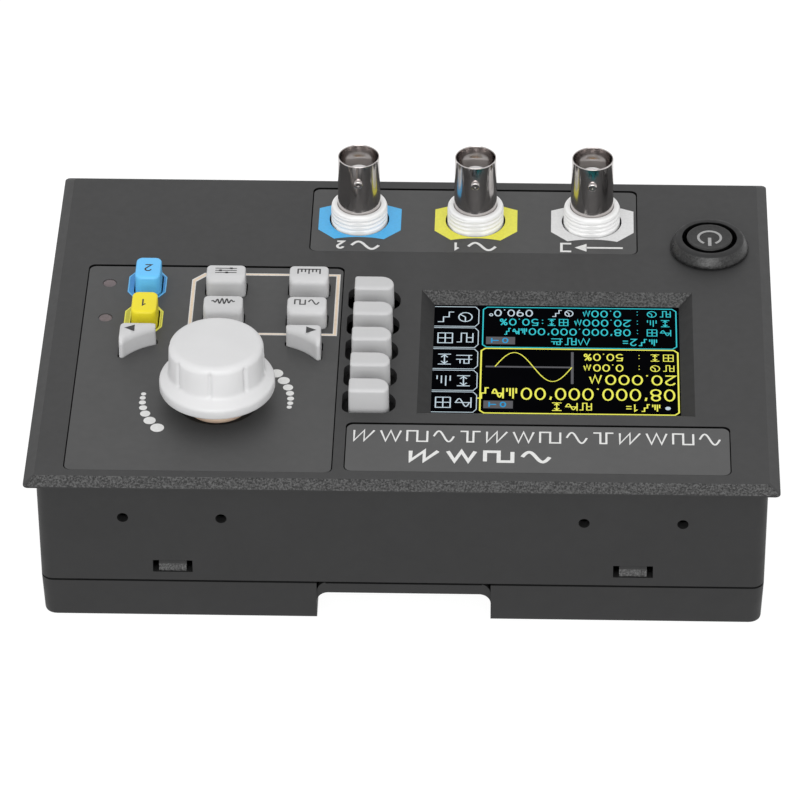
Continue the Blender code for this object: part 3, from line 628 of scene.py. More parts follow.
# ---------------------------------------------------------------- key outlines
def cursor_ring(side, insets=(0.0, 0.0, 0.0)):
    """A key with one slanted, slightly hollow side that faces the knob, drawn in from its edges."""
    flank, back, front = insets
    straight, short, long = CURSOR_Y
    near, far = CURSOR_NEAR + flank, CURSOR_FAR - flank
    slope = (long - short) / (CURSOR_FAR - CURSOR_NEAR)
    shift = front * sqrt(1 + slope * slope)
    base = straight + back
    end = short + slope * flank - shift
    if end < base + CURSOR_LEAST:
        near += (base + CURSOR_LEAST - end) / slope
        end = base + CURSOR_LEAST
    corners = [(near, base), (far, base), (far, long - slope * flank - shift), (near, end)]
    radius = max(0.3, KEY_RADIUS - flank)
    room = corners[3][1] - corners[0][1]
    rounds = [min(radius, room * 0.4), radius, radius * 0.5, min(radius * 0.9, room * 0.4)]
    points = []
    for i, (corner, size) in enumerate(zip(corners, rounds)):
        turned_corner = fillet(corners[i - 1], corner, corners[(i + 1) % 4], size, 6)
        if i == 3:
            start, end = Vector(points[-1]), Vector(turned_corner[0])
            away = Vector((start - end).yx).normalized()
            away.y = -away.y
            if away.y > 0:
                away = -away
            for j in range(1, 12):
                t = j / 12
                point = start.lerp(end, t) + away * (CURSOR_BOW * 4 * t * (1 - t))
                points.append((point.x, point.y))
        points += turned_corner
    points = [(CURSOR_AXIS + side * x, y) for x, y in points]
    return points if side > 0 else list(reversed(points))


def key_size(name):
    span = Span(name)
    if name in SOFT_KEYS:
        return (SOFT_SIZE[0] / 2, SOFT_SIZE[1] / 2)
    reach = KEY_FLANGE + KEY_CLEAR
    return (span.half[0] - reach, span.half[1] - reach)


def key_ring(name, insets=(0.0, 0.0, 0.0)):
    """A key's outline, drawn in at its flanks, its back (-Y) edge and its front (+Y) edge."""
    if name in CURSOR_KEYS:
        return cursor_ring(1 if name.endswith("right") else -1, insets)
    flank, back, front = insets
    x, y = Span(name).mid[:2]
    width, depth = key_size(name)
    radii = (CHANNEL_RADIUS if name in CHANNEL_KEYS else KEY_RADIUS,) * 4
    if name in SOFT_KEYS:
        radii = SOFT_RADII
    shrunk = tuple(max(0.3, radius - flank) for radius in radii)
    return rounded_box((x, y + (back - front) / 2), (width - flank, depth - (back + front) / 2), shrunk)


def key_slot(name):
    if name not in SOFT_KEYS:
        return grown(key_ring(name), KEY_CLEAR)
    width, depth = key_size(name)
    radii = tuple(radius + min(SOFT_CLEAR) for radius in SOFT_RADII)
    return rounded_box(Span(name).mid[:2], (width + SOFT_CLEAR[0], depth + SOFT_CLEAR[1]), radii)


# ---------------------------------------------------------------- case
def case_outline(half, inset=0.0, radius=CORNER_R):
    return rounded_box((0.0, 0.0), (half[0] - inset, half[1] - inset), radius)


def film_recess(name):
    span = Span(name)
    side, lower, upper = FILM_GAPS
    centre = (span.mid[0], span.mid[1] + (upper - lower) / 2)
    return rounded_box(centre, (span.half[0] + side, span.half[1] + (lower + upper) / 2), FILM_CORNER)


def screen_recess():
    x, y = Span("display_glass").mid[:2]
    width, depth = SCREEN_HALF
    inner = [(x - width, y - depth), (x + width, y - depth), (x + width, y + depth), (x - width, y + depth)]
    edge = PANEL_UNDER + SCREEN_EDGE
    outer = grown(inner, SCREEN_BEVEL * (1 + 1 / (PANEL_Z - edge)))
    return solid(stack, [(inner, PANEL_UNDER - 1), (inner, edge), (outer, PANEL_Z + 1)])


def coax_holes():
    return [circle(Span(f"coax_housing_{name}").mid, COAX_HOLE_R, 64) for name in COAX_NAMES]


def light_holes():
    return [circle(Span(name).mid, LIGHT_HOLE_R, 32) for name in LIGHTS]


def panel_openings():
    low, floor, high = PANEL_UNDER - 1, PANEL_Z - ENCODER_SINK, PANEL_Z + 2
    outlines = [key_slot(name) for name in ALL_KEYS] + coax_holes() + light_holes()
    outlines.append(circle(Span("power_cap").mid, POWER_HOLE_R, 64))
    bm = joined([(outline, low, high) for outline in outlines])
    hole, sink = circle(KNOB_XY, ENCODER_HOLE_R, 64), circle(KNOB_XY, ENCODER_SINK_R, 64)
    stack(bm, [(hole, low), (hole, floor), (sink, floor), (sink, high)])
    return bm


def wall_openings():
    bm = bmesh.new()
    for side in (-1, 1):
        ends = sorted((side * (WALL_HALF[1] - WALL - 1), side * (WALL_HALF[1] + 2)))
        for x in HOOK_X:
            box(bm, (x - WINDOW_HALF, ends[0], WINDOW_Z[0]), (x + WINDOW_HALF, ends[1], WINDOW_Z[1]))
        for x in SIDE_HOLE_X:
            bar(bm, "y", circle((x, SIDE_HOLE_Z), SIDE_HOLE_R, 32), *ends)
    wall = -WALL_HALF[0]
    bar(bm, "x", circle((JACK.mid[1], JACK_Z), JACK_HOLE_R, 48), wall - 4, wall + 6)
    bar(bm, "x", rounded_box((USB.mid[1], USB_Z), USB_HOLE_HALF, 0.5, 4), wall - 4, wall + 6)
    return bm


def in_recess(x, y):
    spans = [Span(name) for name in FILMS]
    return any(abs(x - s.mid[0]) < s.half[0] + 0.9 and abs(y - s.mid[1]) < s.half[1] + 0.9 for s in spans)


def sort_cover_faces(mesh):
    """Sort the panel's faces by finish.

    Slopes that face +Y or -Y get the coarser grain, walls and the display's side slopes a darker
    finish that paints their shade, and the film recesses a black finish that paints the gaps' shadow.
    """
    glass = Span("display_glass").mid
    reach = (SCREEN_HALF[0] + SCREEN_BEVEL + 0.1, SCREEN_HALF[1] + SCREEN_BEVEL + 0.1)
    for face in mesh.polygons:
        x, y, z = face.center / MM
        z -= DATUM
        sloped = 0.3 < face.normal.z < 0.97
        edge = abs(x) > FLANGE_HALF[0] - FLANGE_BEVEL + 0.1 or abs(y) > FLANGE_HALF[1] - FLANGE_BEVEL + 0.1
        beside = abs(x - glass[0]) < reach[0] and abs(y - glass[1]) < reach[1]
        if sloped and edge and z > FLANGE_Z + FLANGE_LIP:
            face.material_index = 1 if abs(face.normal.y) > abs(face.normal.x) else 0
        elif sloped and beside and z < PANEL_Z - 0.2:
            # the display's side slopes take the darker walls finish, which paints their shade
            face.material_index = 2 if abs(face.normal.x) > 0.3 else 1
        # faces in the film recesses get the black finish, which paints the shadow in the gaps round the
        # films
        elif PANEL_Z - RECESS_DEPTH - 0.02 < z < PANEL_Z - 0.08 and face.normal.z > -0.1 and in_recess(x, y):
            face.material_index = 3
        elif z < FLANGE_Z + FLANGE_LIP + 0.02:
            face.material_index = 2


def cover_piece():
    inner = case_outline(WALL_HALF, WALL, 1.2)
    levels = [
        (inner, PANEL_UNDER), (inner, SPLIT_Z), (case_outline(WALL_HALF), SPLIT_Z),
        (case_outline(SKIRT_TOP_HALF), FLANGE_Z), (case_outline(FLANGE_HALF, 0.0, 1.2), FLANGE_Z),
        (case_outline(FLANGE_HALF, 0.0, 1.2), FLANGE_Z + FLANGE_LIP),
        (case_outline(FLANGE_HALF, FLANGE_BEVEL, 0.8), PANEL_Z),
    ]
    bm = solid(stack, levels)
    cover = piece("cover_shell", bm, ["case", "slopes", "walls", "recess"], "top_cover")
    recesses = bmesh.new()
    for name in FILMS:
        prism(recesses, film_recess(name), PANEL_Z - RECESS_DEPTH, PANEL_Z + 2)
    posts, screws = bmesh.new(), bmesh.new()
    for board in ("main", "front"):
        low = Span(f"{board}_board").foot + POST_RISE
        for i in range(1, 5):
            span = Span(f"{board}_screw_{i}")
            prism(posts, circle(span.mid, POST_R, 24), low, PANEL_UNDER + 0.5)
            prism(screws, circle(span.mid, SCREW_HOLE_R, 16), span.foot, span.top + 0.8)
    carved(cover, [recesses, screen_recess(), panel_openings(), wall_openings(), screws], bevel=0.14,
           joins=[posts])
    sort_cover_faces(cover.data)


def tray_piece():
    ledge = WALL + GAP
    deep = ledge + 1.5
    rim = SPLIT_Z - GAP - 0.2
    foot = TRAY.foot
    bm = solid(stack, [
        (case_outline(TRAY_FOOT_HALF, 0.15), foot), (case_outline(TRAY_FOOT_HALF), foot + 0.1),
        (case_outline(TRAY_LOW_HALF, 0.08), foot + 0.4), (case_outline(TRAY_LOW_HALF), foot + 0.8),
        (case_outline(WALL_HALF), rim), (case_outline(WALL_HALF, ledge, 1.2), rim),
        (case_outline(WALL_HALF, ledge, 1.2), rim + 2), (case_outline(WALL_HALF, deep, 0.8), rim + 2),
        (case_outline(WALL_HALF, deep, 0.8), 2.2),
    ])
    # the tray's walls take the darker walls finish, which paints their shade
    tray = piece("tray_shell", bm, ["walls", "slopes"], "base_tray")
    reach = WALL_HALF[1] - CHANNEL_SETBACK
    left, right = CHANNEL_X - CHANNEL_HALF, CHANNEL_X + CHANNEL_HALF
    walls = solid(box, (left - WALL, -reach, 1.0), (right + WALL, reach, CHANNEL_TOP + WALL))
    channel = bmesh.new()
    low = foot - 1.0
    middle = CHANNEL_TOP - CHANNEL_FILLET
    outline = [(left, low), (right, low)]
    outline += arc((right - CHANNEL_FILLET, middle), CHANNEL_FILLET, 0.0, pi / 2, 12)
    outline += arc((left + CHANNEL_FILLET, middle), CHANNEL_FILLET, pi / 2, pi, 12)
    bar(channel, "y", outline, -WALL_HALF[1] - 2, WALL_HALF[1] + 2)
    faces, notch = bmesh.new(), bmesh.new()
    for side in (-1, 1):
        ends = sorted((side * reach, side * (reach + 3)))
        box(faces, (left, ends[0], low), (right, ends[1], SPLIT_Z + 2))
        ends = sorted((side * (reach - 1.2), side * (reach + 4)))
        box(notch, (left + 2, ends[0], rim - 0.3), (right - 2, ends[1], SPLIT_Z + 3))
    carved(tray, [channel, faces, notch, channel_pockets(reach, rim)], bevel=0.12,
           joins=[walls, hook_shapes(WALL_HALF[1] - ledge)])
    for face in tray.data.polygons:           # the hooks show a coarser grain in the windows
        if face.center.z > (WINDOW_Z[0] + DATUM) * MM and abs(face.normal.y) > 0.9:
            face.material_index = 1


def channel_pockets(reach, rim):
    """Notches that leave each end face of the channel with rounded upper corners."""
    bm = bmesh.new()
    width, height = POCKET_SIZE
    high = SPLIT_Z + 1
    for side in (-1, 1):
        corner = CHANNEL_X + side * CHANNEL_HALF
        outline = [(corner, rim - height), (corner, high), (corner - side * width, high)]
        for i in range(12):
            angle = pi / 2 * (12 - i) / 12
            outline.append((corner - side * width * (1 - cos(angle)), rim - height * (1 - sin(angle))))
        for end in (-1, 1):
            bar(bm, "y", outline, *sorted((end * (reach - POCKET_DEPTH), end * (reach + 3))))
    return bm


def hook_shapes(face):
    """Snap hooks on the tray's rim, with a barb in each of the cover's windows."""
    bm = bmesh.new()
    top = TRAY.top
    low = top - HOOK_BARB
    for side in (-1, 1):
        for x in HOOK_X:
            profile = [(face - 1.4, SPLIT_Z), (face - 0.05, SPLIT_Z), (face - 0.05, low), (face + 2.2, low),
                       (face + 2.2, top - 1.0), (face + 1.4, top), (face - 1.4, top)]
            bar(bm, "x", [(side * y, z) for y, z in profile], x - HOOK_HALF, x + HOOK_HALF)
    return bm


# ---------------------------------------------------------------- films and their printing
def film_piece(name, finish, holes=()):
    span = Span(name)
    outline = rounded_box(span.mid[:2], span.half[:2], FILM_CORNER)
    bm = solid(prism, outline, span.foot, span.top)
    made = piece(name + "_sheet", bm, finish, name)
    if holes:
        carved(made, [joined([(h, span.foot - 1, span.top + 1) for h in holes])], bevel=0.04)


INK = 0.03                        # how far printing stands above its film
OVERPRINT = 0.02                  # how much higher a second colour stands


def ink(name, colour, draw, lift=0.0):
    """Printing that stands a hair above a film."""
    bm = bmesh.new()
    draw(bm, (FILM_TOP, FILM_TOP + INK + lift))
    piece(name, bm, "ink_" + colour)


def film_pieces():
    key_holes = [key_slot(n) for n in ALL_KEYS if n not in SOFT_KEYS]
    film_piece("control_film", "film", key_holes + light_holes() + [circle(KNOB_XY, ENCODER_SINK_R, 64)])
    film_piece("connector_film", "film", coax_holes())
    film_piece("title_film", "title")
    ink("knob_dots", "white", draw_dots)
    ink("function_frame_edge", "white", partial(draw_function_frame, halves=(0.48, 0.42)))
    ink("function_frame", "tan", partial(draw_function_frame, halves=(0.3, 0.2)), OVERPRINT)
    for number, colour in ((1, "yellow"), (2, "blue")):
        ink(f"channel_frame_{number}", colour, partial(draw_channel_frame, number=number))
        edge = partial(draw_channel_edge, number=number)
        ink(f"channel_frame_edge_{number}", colour + "_edge", edge, OVERPRINT)
    for name, colour in (("ch2", "blue"), ("ch1", "yellow"), ("ext", "grey")):
        ink(f"socket_plate_{name}", "plate_" + colour, partial(draw_socket_plate, name=name))
    ink("socket_marks", "white", draw_socket_marks)
    ink("title_marks", "white", draw_title)


DOT_ANGLES = (-6.6, -1.4, 4.6, 11.6, 19.5, 29.2, 40.5)
DOT_SIZES = (1.15, 1.36, 1.56, 1.82, 2.3, 2.75, 3.1)
DOT_TURNS = (0.0, 178.2)
DOT_RING = 16.75
DOT_SHIFT = 0.28


def draw_dots(bm, z):
    for turn in DOT_TURNS:
        for angle, size in zip(DOT_ANGLES, DOT_SIZES):
            place = polar((KNOB_XY[0] + DOT_SHIFT, KNOB_XY[1]), DOT_RING, radians(angle + turn))
            prism(bm, circle(place, size / 2, 32), *z)


FRAME_REACH = (6.6, 7.7, 6.05, 5.46)      # from key centres out to the -X, +X, -Y and +Y lines
FRAME_CUT = 2.8


def function_frame(x_grow, y_grow):
    """The line round the function keys: a box with its two +X corners cut."""
    left = Span("key_meas").mid[0] - FRAME_REACH[0] - x_grow
    right = Span("key_sys").mid[0] + FRAME_REACH[1] + x_grow
    bottom = Span("key_sys").mid[1] - FRAME_REACH[2] - y_grow
    top = Span("key_mod").mid[1] + FRAME_REACH[3] + y_grow
    return [(left, bottom), (right - FRAME_CUT, bottom), (right, bottom + FRAME_CUT),
            (right, top - FRAME_CUT), (right - FRAME_CUT, top), (left, top)]


def draw_function_frame(bm, z, halves):
    plate(bm, [function_frame(*halves), function_frame(-halves[0], -halves[1])], *z)


OCTAGON_HALF = (4.45, 5.25)
OCTAGON_CUT = (1.45, 2.2)
OCTAGON_SHIFT = 0.35


def channel_octagon(number, inset=0.0):
    x, y = middle_of(key_ring(f"key_channel_{number}"))
    half = (OCTAGON_HALF[0] - inset, OCTAGON_HALF[1] - inset)
    return cut_corners((x + OCTAGON_SHIFT, y), half, OCTAGON_CUT, OCTAGON_CUT)


def draw_channel_frame(bm, z, number):
    hole = grown(key_slot(f"key_channel_{number}"), 0.02)
    plate(bm, [channel_octagon(number), hole], *z)


def draw_channel_edge(bm, z, number):
    ribbon(bm, channel_octagon(number, 0.14), 0.26, *z, closed=True)
    if number == 1:
        ribbon(bm, grown(key_slot("key_channel_1"), 0.16), 0.22, *z, closed=True)


PLATE_HALF = (9.75, 7.35)
PLATE_SHIFT = (-0.16, 0.95)
PLATE_CUTS = ((3.9, 3.8), (4.6, 2.0))
PLATE_HOLLOW = 0.85               # depth of the hollow in a plate's upper edge


def draw_socket_plate(bm, z, name):
    centre = Span(f"coax_housing_{name}").mid
    middle = (centre[0] + PLATE_SHIFT[0], centre[1] + PLATE_SHIFT[1])
    corners = cut_corners(middle, PLATE_HALF, *PLATE_CUTS)
    hollow = []
    for i in range(1, 12):
        t = i / 12
        hollow.append((corners[1][0] + (corners[2][0] - corners[1][0]) * t,
                       corners[1][1] - PLATE_HOLLOW * 4 * t * (1 - t)))
    outline = corners[:2] + hollow + corners[2:]
    plate(bm, [outline, circle(centre, COAX_HOLE_R + 0.02, 64)], *z)


def sine_points(centre, half, steps=36):
    return [(centre[0] + half[0] * (2 * i / steps - 1), centre[1] + half[1] * sin(tau * i / steps))
            for i in range(steps + 1)]


def draw_socket_marks(bm, z):
    """Above each socket, as its user reads it: a sine and the channel's number, or an arrow going in."""
    for name in COAX_NAMES:
        centre = Span(f"coax_housing_{name}").mid
        y = centre[1] + 10.9
        if name == "ext":
            x = centre[0]
            ribbon(bm, [(x - 7.3, y), (x + 1.4, y)], 0.62, *z)
            plate(bm, [[(x + 1.2, y + 1.6), (x + 1.2, y - 1.6), (x + 4.0, y)]], *z)
            bracket = [(x + 4.8, y + 1.6), (x + 7.1, y + 1.6), (x + 7.1, y - 1.6), (x + 4.8, y - 1.6)]
            ribbon(bm, bracket, 0.62, *z)
        else:
            ribbon(bm, sine_points((centre[0] - 1.7, y), (3.2, 1.5)), 0.68, *z)
            numeral(bm, name[-1], (centre[0] + 4.15, y - 0.15), (1.7, 2.75), 0.6, *z)


WAVES = ("sine", "square", "triangle", "ramp", "pulse")


def wave_points(kind, centre, half):
    """One period of a waveform in a box about centre."""
    x, y = centre
    a, h = half
    if kind == "sine":
        return sine_points(centre, half)
    shapes = {
        "square": [(-1, -1), (-1, 1), (0, 1), (0, -1), (1, -1), (1, 1)],
        "triangle": [(-1, -1), (-0.5, 1), (0, -1), (0.5, 1), (1, -1)],
        "ramp": [(-1, -1), (0, 1), (0, -1), (1, 1), (1, -1)],
        "pulse": [(-1, -1), (-0.3, -1), (-0.3, 1), (0.3, 1), (0.3, -1), (1, -1)],
    }
    return [(x + a * u, y + h * v) for u, v in shapes[kind]]


def wave_row(bm, centre, half, gap, count, width, z):
    """A row of waveforms, one after another."""
    pitch = half[0] * 2 + gap
    for i in range(count):
        place = (centre[0] + pitch * (i - (count - 1) / 2), centre[1])
        ribbon(bm, wave_points(WAVES[i % len(WAVES)], place, half), width, *z)


def draw_title(bm, z):
    """The title strip carries plain waveforms in place of words."""
    span = Span("title_film")
    wave_row(bm, (span.mid[0] + 0.2, span.mid[1] - 4.5), (2.25, 1.95), 1.45, 14, 0.46, z)
    wave_row(bm, (span.mid[0] + 12.8, span.mid[1] + 2.85), (3.05, 1.8), 2.2, 4, 0.9, z)


# ---------------------------------------------------------------- keys
# How strongly the top edges are rounded: flanks, back edge, front edge
EDGES = {"soft": (0.55, 0.5, 0.85), "channel": (0.5, 0.5, 0.85), "function": (0.5, 0.5, 1.9),
         "cursor": (0.5, 0.5, 1.9)}


def key_kind(name):
    for kind, names in (("soft", SOFT_KEYS), ("channel", CHANNEL_KEYS), ("function", FUNCTION_KEYS)):
        if name in names:
            return kind
    return "cursor"


def edge_inset(radius, drop):
    """How far a rounded edge has drawn in at a depth below the top."""
    return radius - sqrt(radius ** 2 - (radius - drop) ** 2) if drop < radius else 0.0


def key_piece(name):
    kind = key_kind(name)
    finish = {"key_channel_1": "key_yellow", "key_channel_2": "key_blue"}.get(name, "key")
    low, top = Span(name).foot, Span(name).top
    outline = key_ring(name)
    stem = scaled(outline, 0.5)
    levels = [(stem, low), (stem, KEY_UNDER)]
    if kind == "soft":
        levels.append((outline, KEY_UNDER))
    else:
        flange = grown(outline, KEY_CLEAR + KEY_FLANGE)
        levels += [(flange, KEY_UNDER), (flange, KEY_FLANGE_TOP), (outline, KEY_FLANGE_TOP)]
    edges = EDGES[kind]
    deepest = max(edges)
    steps = 14
    for i in range(steps + 1):
        drop = deepest * (1 - sin(pi / 2 * i / steps))
        insets = tuple(KEY_DRAFT + edge_inset(radius, drop) for radius in edges)
        levels.append((key_ring(name, insets), top - drop))
    bm = solid(stack, levels)
    piece(name + "_cap", bm, "key_soft" if kind == "soft" else finish, name, name, angle=40)
    if kind != "soft":
        legend = bmesh.new()
        draw_legend(legend, name, middle_of(outline), (top, top + 0.02))
        piece(name + "_legend", legend, "ink_black", body=name)


def draw_legend(bm, name, centre, z):
    """Small plain symbols on the caps: numbers, arrows and waveforms."""
    x, y = centre
    y -= 0.5
    line = 0.34
    if name in CHANNEL_KEYS:
        numeral(bm, name[-1], (x, y + 0.75), (1.65, 2.45), 0.38, *z)
    elif name == "key_wave":
        wave_row(bm, (x, y), (1.2, 0.9), 0.75, 2, line, z)
    elif name == "key_mod":
        points = [(x + 2.7 * (2 * t / 72 - 1), y + 1.0 * sin(tau * 5 * t / 72) * sin(pi * t / 72))
                  for t in range(73)]
        ribbon(bm, points, line, *z)
    elif name == "key_meas":
        ribbon(bm, [(x - 2.7, y - 0.85), (x + 2.7, y - 0.85)], line, *z)
        for i in range(7):
            at = x - 2.55 + i * 5.1 / 6
            ribbon(bm, [(at, y - 0.85), (at, y + (1.0 if i % 3 == 0 else 0.3))], line, *z)
    elif name == "key_sys":
        for side in (-1, 0, 1):
            ribbon(bm, [(x - 2.5, y + 0.85 * side), (x + 2.5, y + 0.85 * side)], line * 0.8, *z)
            knob = x + (-1.2, 1.3, -0.2)[side + 1]
            ribbon(bm, [(knob, y + 0.85 * side - 0.32), (knob, y + 0.85 * side + 0.32)], 0.6, *z)
    else:
        side = 1 if name.endswith("right") else -1
        tip = (CURSOR_AXIS + side * (CURSOR_FAR - 1.15), CURSOR_Y[0] + 2.3)
        base = tip[0] - side * 2.35
        plate(bm, [[tip, (base, tip[1] + 1.25), (base, tip[1] - 1.25)]], *z)


# ---------------------------------------------------------------- knob and encoder
FLUTES = 8
FLUTE_TURN = radians(40.2)
FLUTE_DEPTH = 0.42
FLUTE_WIDTH = 0.45
KNOB_WAIST = 10.95
KNOB_CROWN = 10.75
KNOB_CAVITY_Z = 52.4
KNOB_BORE = (3.3, 53.3)           # radius and upper end of the shaft's hole
LIP_Z = 45.3                      # where the skirt's edge begins to round over
LIP_R = 1.2
CONE_TOP = 47.85
GRIP_FOOT = 48.3                  # where the grip's straight side begins


def knob_shell():
    base, top = KNOB.foot, KNOB.top
    rim = KNOB.half[0]
    bore, bore_end = KNOB_BORE
    profile = [(bore, base), (4.8, base), (5.0, base + 0.2), (5.0, KNOB_CAVITY_Z), (8.9, KNOB_CAVITY_Z)]
    profile += [(10.9, base + 0.9), (11.3, base + 0.5), (rim - 0.35, base + 0.5), (rim - 0.1, base + 0.6)]
    profile += [(rim, base + 0.85)]
    profile += arc((rim - LIP_R, LIP_Z), LIP_R, 0.0, radians(62), 8)
    profile += [(11.62, 47.22), (11.36, 47.39), (11.18, 47.58), (KNOB_WAIST + 0.08, CONE_TOP)]
    shoulder = top - 1.9
    for i in range(10):
        t = i / 9
        profile.append((KNOB_WAIST + (KNOB_CROWN - KNOB_WAIST) * t, GRIP_FOOT + (shoulder - GRIP_FOOT) * t))
    for inset, drop in rounding(1.85, 10)[1:]:
        profile.append((KNOB_CROWN - inset, top - 0.04 - drop))
    profile += [(6.0, top - 0.01), (0.0, top), (0.0, bore_end), (bore, bore_end)]

    def shape(angle, radius, z):
        if radius < 8.4 or z < CONE_TOP - 0.2:
            return radius
        phase = (angle - FLUTE_TURN) % (tau / FLUTES)
        away = min(phase, tau / FLUTES - phase) * radius
        depth = FLUTE_DEPTH * exp(-(away / FLUTE_WIDTH) ** 2)
        depth += 0.10 * (1 - cos(FLUTES * (angle - FLUTE_TURN) + pi)) / 2
        low = min(1.0, max(0.0, (z - CONE_TOP + 0.2) / 0.5))
        high = min(1.0, max(0.0, (top - 0.7 - z) / 1.2))
        return radius - depth * low * high

    bm = solid(turned, KNOB_XY, profile, 320, shape)
    piece("knob_shell", bm, "knob", "knob", "knob", angle=50)


def encoder_pieces():
    span = Span("encoder_shaft")
    r = span.half[0]
    bm = solid(turned, KNOB_XY, [(0, span.foot), (r, span.foot), (r, span.top - 0.4), (r - 0.4, span.top),
                                 (0, span.top)], 48)
    piece("shaft_rod", bm, "steel", "encoder_shaft", "knob")

    span = Span("encoder_nut")
    low, high = span.foot, span.top
    outer = span.half[0]
    bm = solid(turned, KNOB_XY, [
        (3.9, low), (outer - 0.1, low), (outer, low + 0.1), (outer, low + 0.7), (outer - 0.55, high - 0.1),
        (outer - 0.7, high), (4.2, high), (3.9, high - 0.25)], 96)
    piece("bushing_nut", bm, "nut", "encoder_nut")

    span = Span("encoder_body")
    bm = solid(box, span.low, (*span.high[:2], 36.8))
    body = piece("encoder_case", bm, "steel", "encoder_body")
    neck = solid(prism, circle(KNOB_XY, 3.6, 48), 36.0, span.top)
    bore = solid(prism, circle(KNOB_XY, 3.3, 48), 25.0, 45.0)
    well = solid(prism, circle(KNOB_XY, 4.6, 48), 25.0, 34.6)
    carved(body, [bore, well], bevel=0.12, joins=[neck])


# ---------------------------------------------------------------- coaxial sockets
THREAD_PITCH = 1.1
COLLAR_R = (6.65, 6.3)            # crest and root of the thread
COLLAR_FLAT = 6.33
COLLAR_BORE = 5.12
COLLAR_DROP = 0.6                 # the collar's rounded top sits this far inside the CAD's
THREAD_LOW = PANEL_Z + 0.3
HOUSING_STEP_Z = 36.9             # top of the housing's square foot
HOUSING_FLOOR_Z = 26.0            # floor inside the collar
CORE_HOLE_R = 3.2
BARREL_R = (5.05, 4.88)           # at the foot and at the rim
BARREL_BORE = 4.6
BARREL_FLOOR_Z = 44.0
TAPER_Z = 46.2                    # where the barrel begins to narrow
LUG_R = 1.05
LUG_Z = 52.9
LUG_REACH = 5.75


def coax_pieces():
    for name in COAX_NAMES:
        centre = Span(f"coax_housing_{name}").mid[:2]
        coax_body(name, centre)
        coax_barrel(name, centre)
        coax_core(name, centre)


def coax_body(name, centre):
    """The white housing: square under the panel, then a threaded collar with one flat side."""
    housing = Span(f"coax_housing_{name}")
    steps = 144
    square = []
    for i in range(steps):
        angle = tau * i / steps
        reach = housing.half[0] / max(abs(cos(angle)), abs(sin(angle)))
        square.append(polar(centre, reach, angle))
    low, top = housing.foot, housing.top - COLLAR_DROP
    plain = thread_ring(centre, None, steps)
    levels = [(square, low), (square, HOUSING_STEP_Z), (plain, HOUSING_STEP_Z), (plain, THREAD_LOW)]
    rows = 64
    high = top - 0.75
    for i in range(1, rows + 1):
        z = THREAD_LOW + (high - THREAD_LOW) * i / rows
        levels.append((thread_ring(centre, z, steps), z))
    for inset, drop in rounding(0.6, 7):
        levels.append((thread_ring(centre, None, steps, 0.1 + inset), top - drop))
    for radius, z in (
            (COLLAR_BORE + 0.15, top), (COLLAR_BORE + 0.04, top - 0.05), (COLLAR_BORE, top - 0.2),
            (COLLAR_BORE, HOUSING_FLOOR_Z), (CORE_HOLE_R, HOUSING_FLOOR_Z), (CORE_HOLE_R, low)):
        levels.append((circle(centre, radius, steps), z))
    bm = solid(stack, levels, closed=True)
    piece(f"coax_body_{name}", bm, "white", f"coax_housing_{name}", angle=60)


def thread_ring(centre, z, steps, inset=0.0):
    """A round of the collar: a true helix thread, with one flat side towards the title strip."""
    crest, root = COLLAR_R
    points = []
    for i in range(steps):
        angle = tau * i / steps
        radius = crest - inset
        if z is not None:
            phase = (z / THREAD_PITCH - angle / tau) % 1.0
            ridge = min(1.0, max(0.0, (abs(2 * phase - 1) - 0.2) / 0.5))
            radius = root + (crest - root) * ridge
        facing = cos(angle - pi / 2)
        if facing > 0.6:
            radius = min(radius, (COLLAR_FLAT - inset) / facing)
        points.append(polar(centre, radius, angle))
    return points


def coax_barrel(name, centre):
    span = Span(f"coax_barrel_{name}")
    rim, low = span.top, span.foot
    foot, mouth = BARREL_R
    bore, floor, hole = BARREL_BORE, BARREL_FLOOR_Z, 2.9
    profile = [(hole, low), (foot, low), (foot, TAPER_Z)]
    for i in range(1, 7):
        t = i / 6
        profile.append((foot + (mouth - foot) * t, TAPER_Z + (rim - 0.3 - TAPER_Z) * t))
    profile += [
        (mouth - 0.02, rim - 0.1), (mouth - 0.07, rim - 0.02), (mouth - 0.11, rim), (bore + 0.1, rim),
        (bore + 0.04, rim - 0.04), (bore, rim - 0.2), (bore, floor + 0.3), (bore - 0.15, floor + 0.05),
        (bore - 0.4, floor), (hole, floor)]
    bm = solid(turned, centre, profile, 128)
    piece(f"coax_shell_{name}", bm, "nickel", f"coax_barrel_{name}", angle=45)
    root = bore + 0.1
    tall = LUG_REACH - root
    profile = [(0.0, 0.0), (LUG_R, 0.0), (LUG_R, tall - 0.3), (LUG_R - 0.08, tall - 0.12),
               (LUG_R - 0.25, tall), (0.4, tall - 0.02), (0.2, tall - 0.1), (0.0, tall - 0.14)]
    for side, word in ((1, "a"), (-1, "b")):
        bm = solid(turned, (0.0, 0.0), profile, 32)
        turn = Matrix.Rotation(-side * pi / 2, 4, "X")
        move = Matrix.Translation((centre[0], centre[1] + side * root, LUG_Z)) @ turn
        bmesh.ops.transform(bm, matrix=move, verts=bm.verts)
        piece(f"coax_lug_{name}_{word}", bm, "nickel", angle=45)


def coax_core(name, centre):
    """The insulator and the centre contact."""
    span = Span(f"coax_insulator_{name}")
    low, high = span.foot, span.top
    r = span.half[0]
    bm = solid(turned, centre, [
        (1.35, low), (r, low), (r, high - 0.3), (r - 0.1, high - 0.08), (r - 0.3, high), (1.5, high),
        (1.35, high - 0.12)], 64)
    piece(f"coax_core_{name}", bm, "white", f"coax_insulator_{name}")

    span = Span(f"coax_contact_{name}")
    low, high = span.foot, span.top
    bm = solid(turned, centre, [
        (0.0, low), (1.0, low), (1.0, high - 0.15), (0.9, high), (0.65, high), (0.6, high - 0.1),
        (0.6, high - 4.3), (0.0, high - 4.3)], 32)
    piece(f"coax_pin_{name}", bm, "gold", f"coax_contact_{name}")


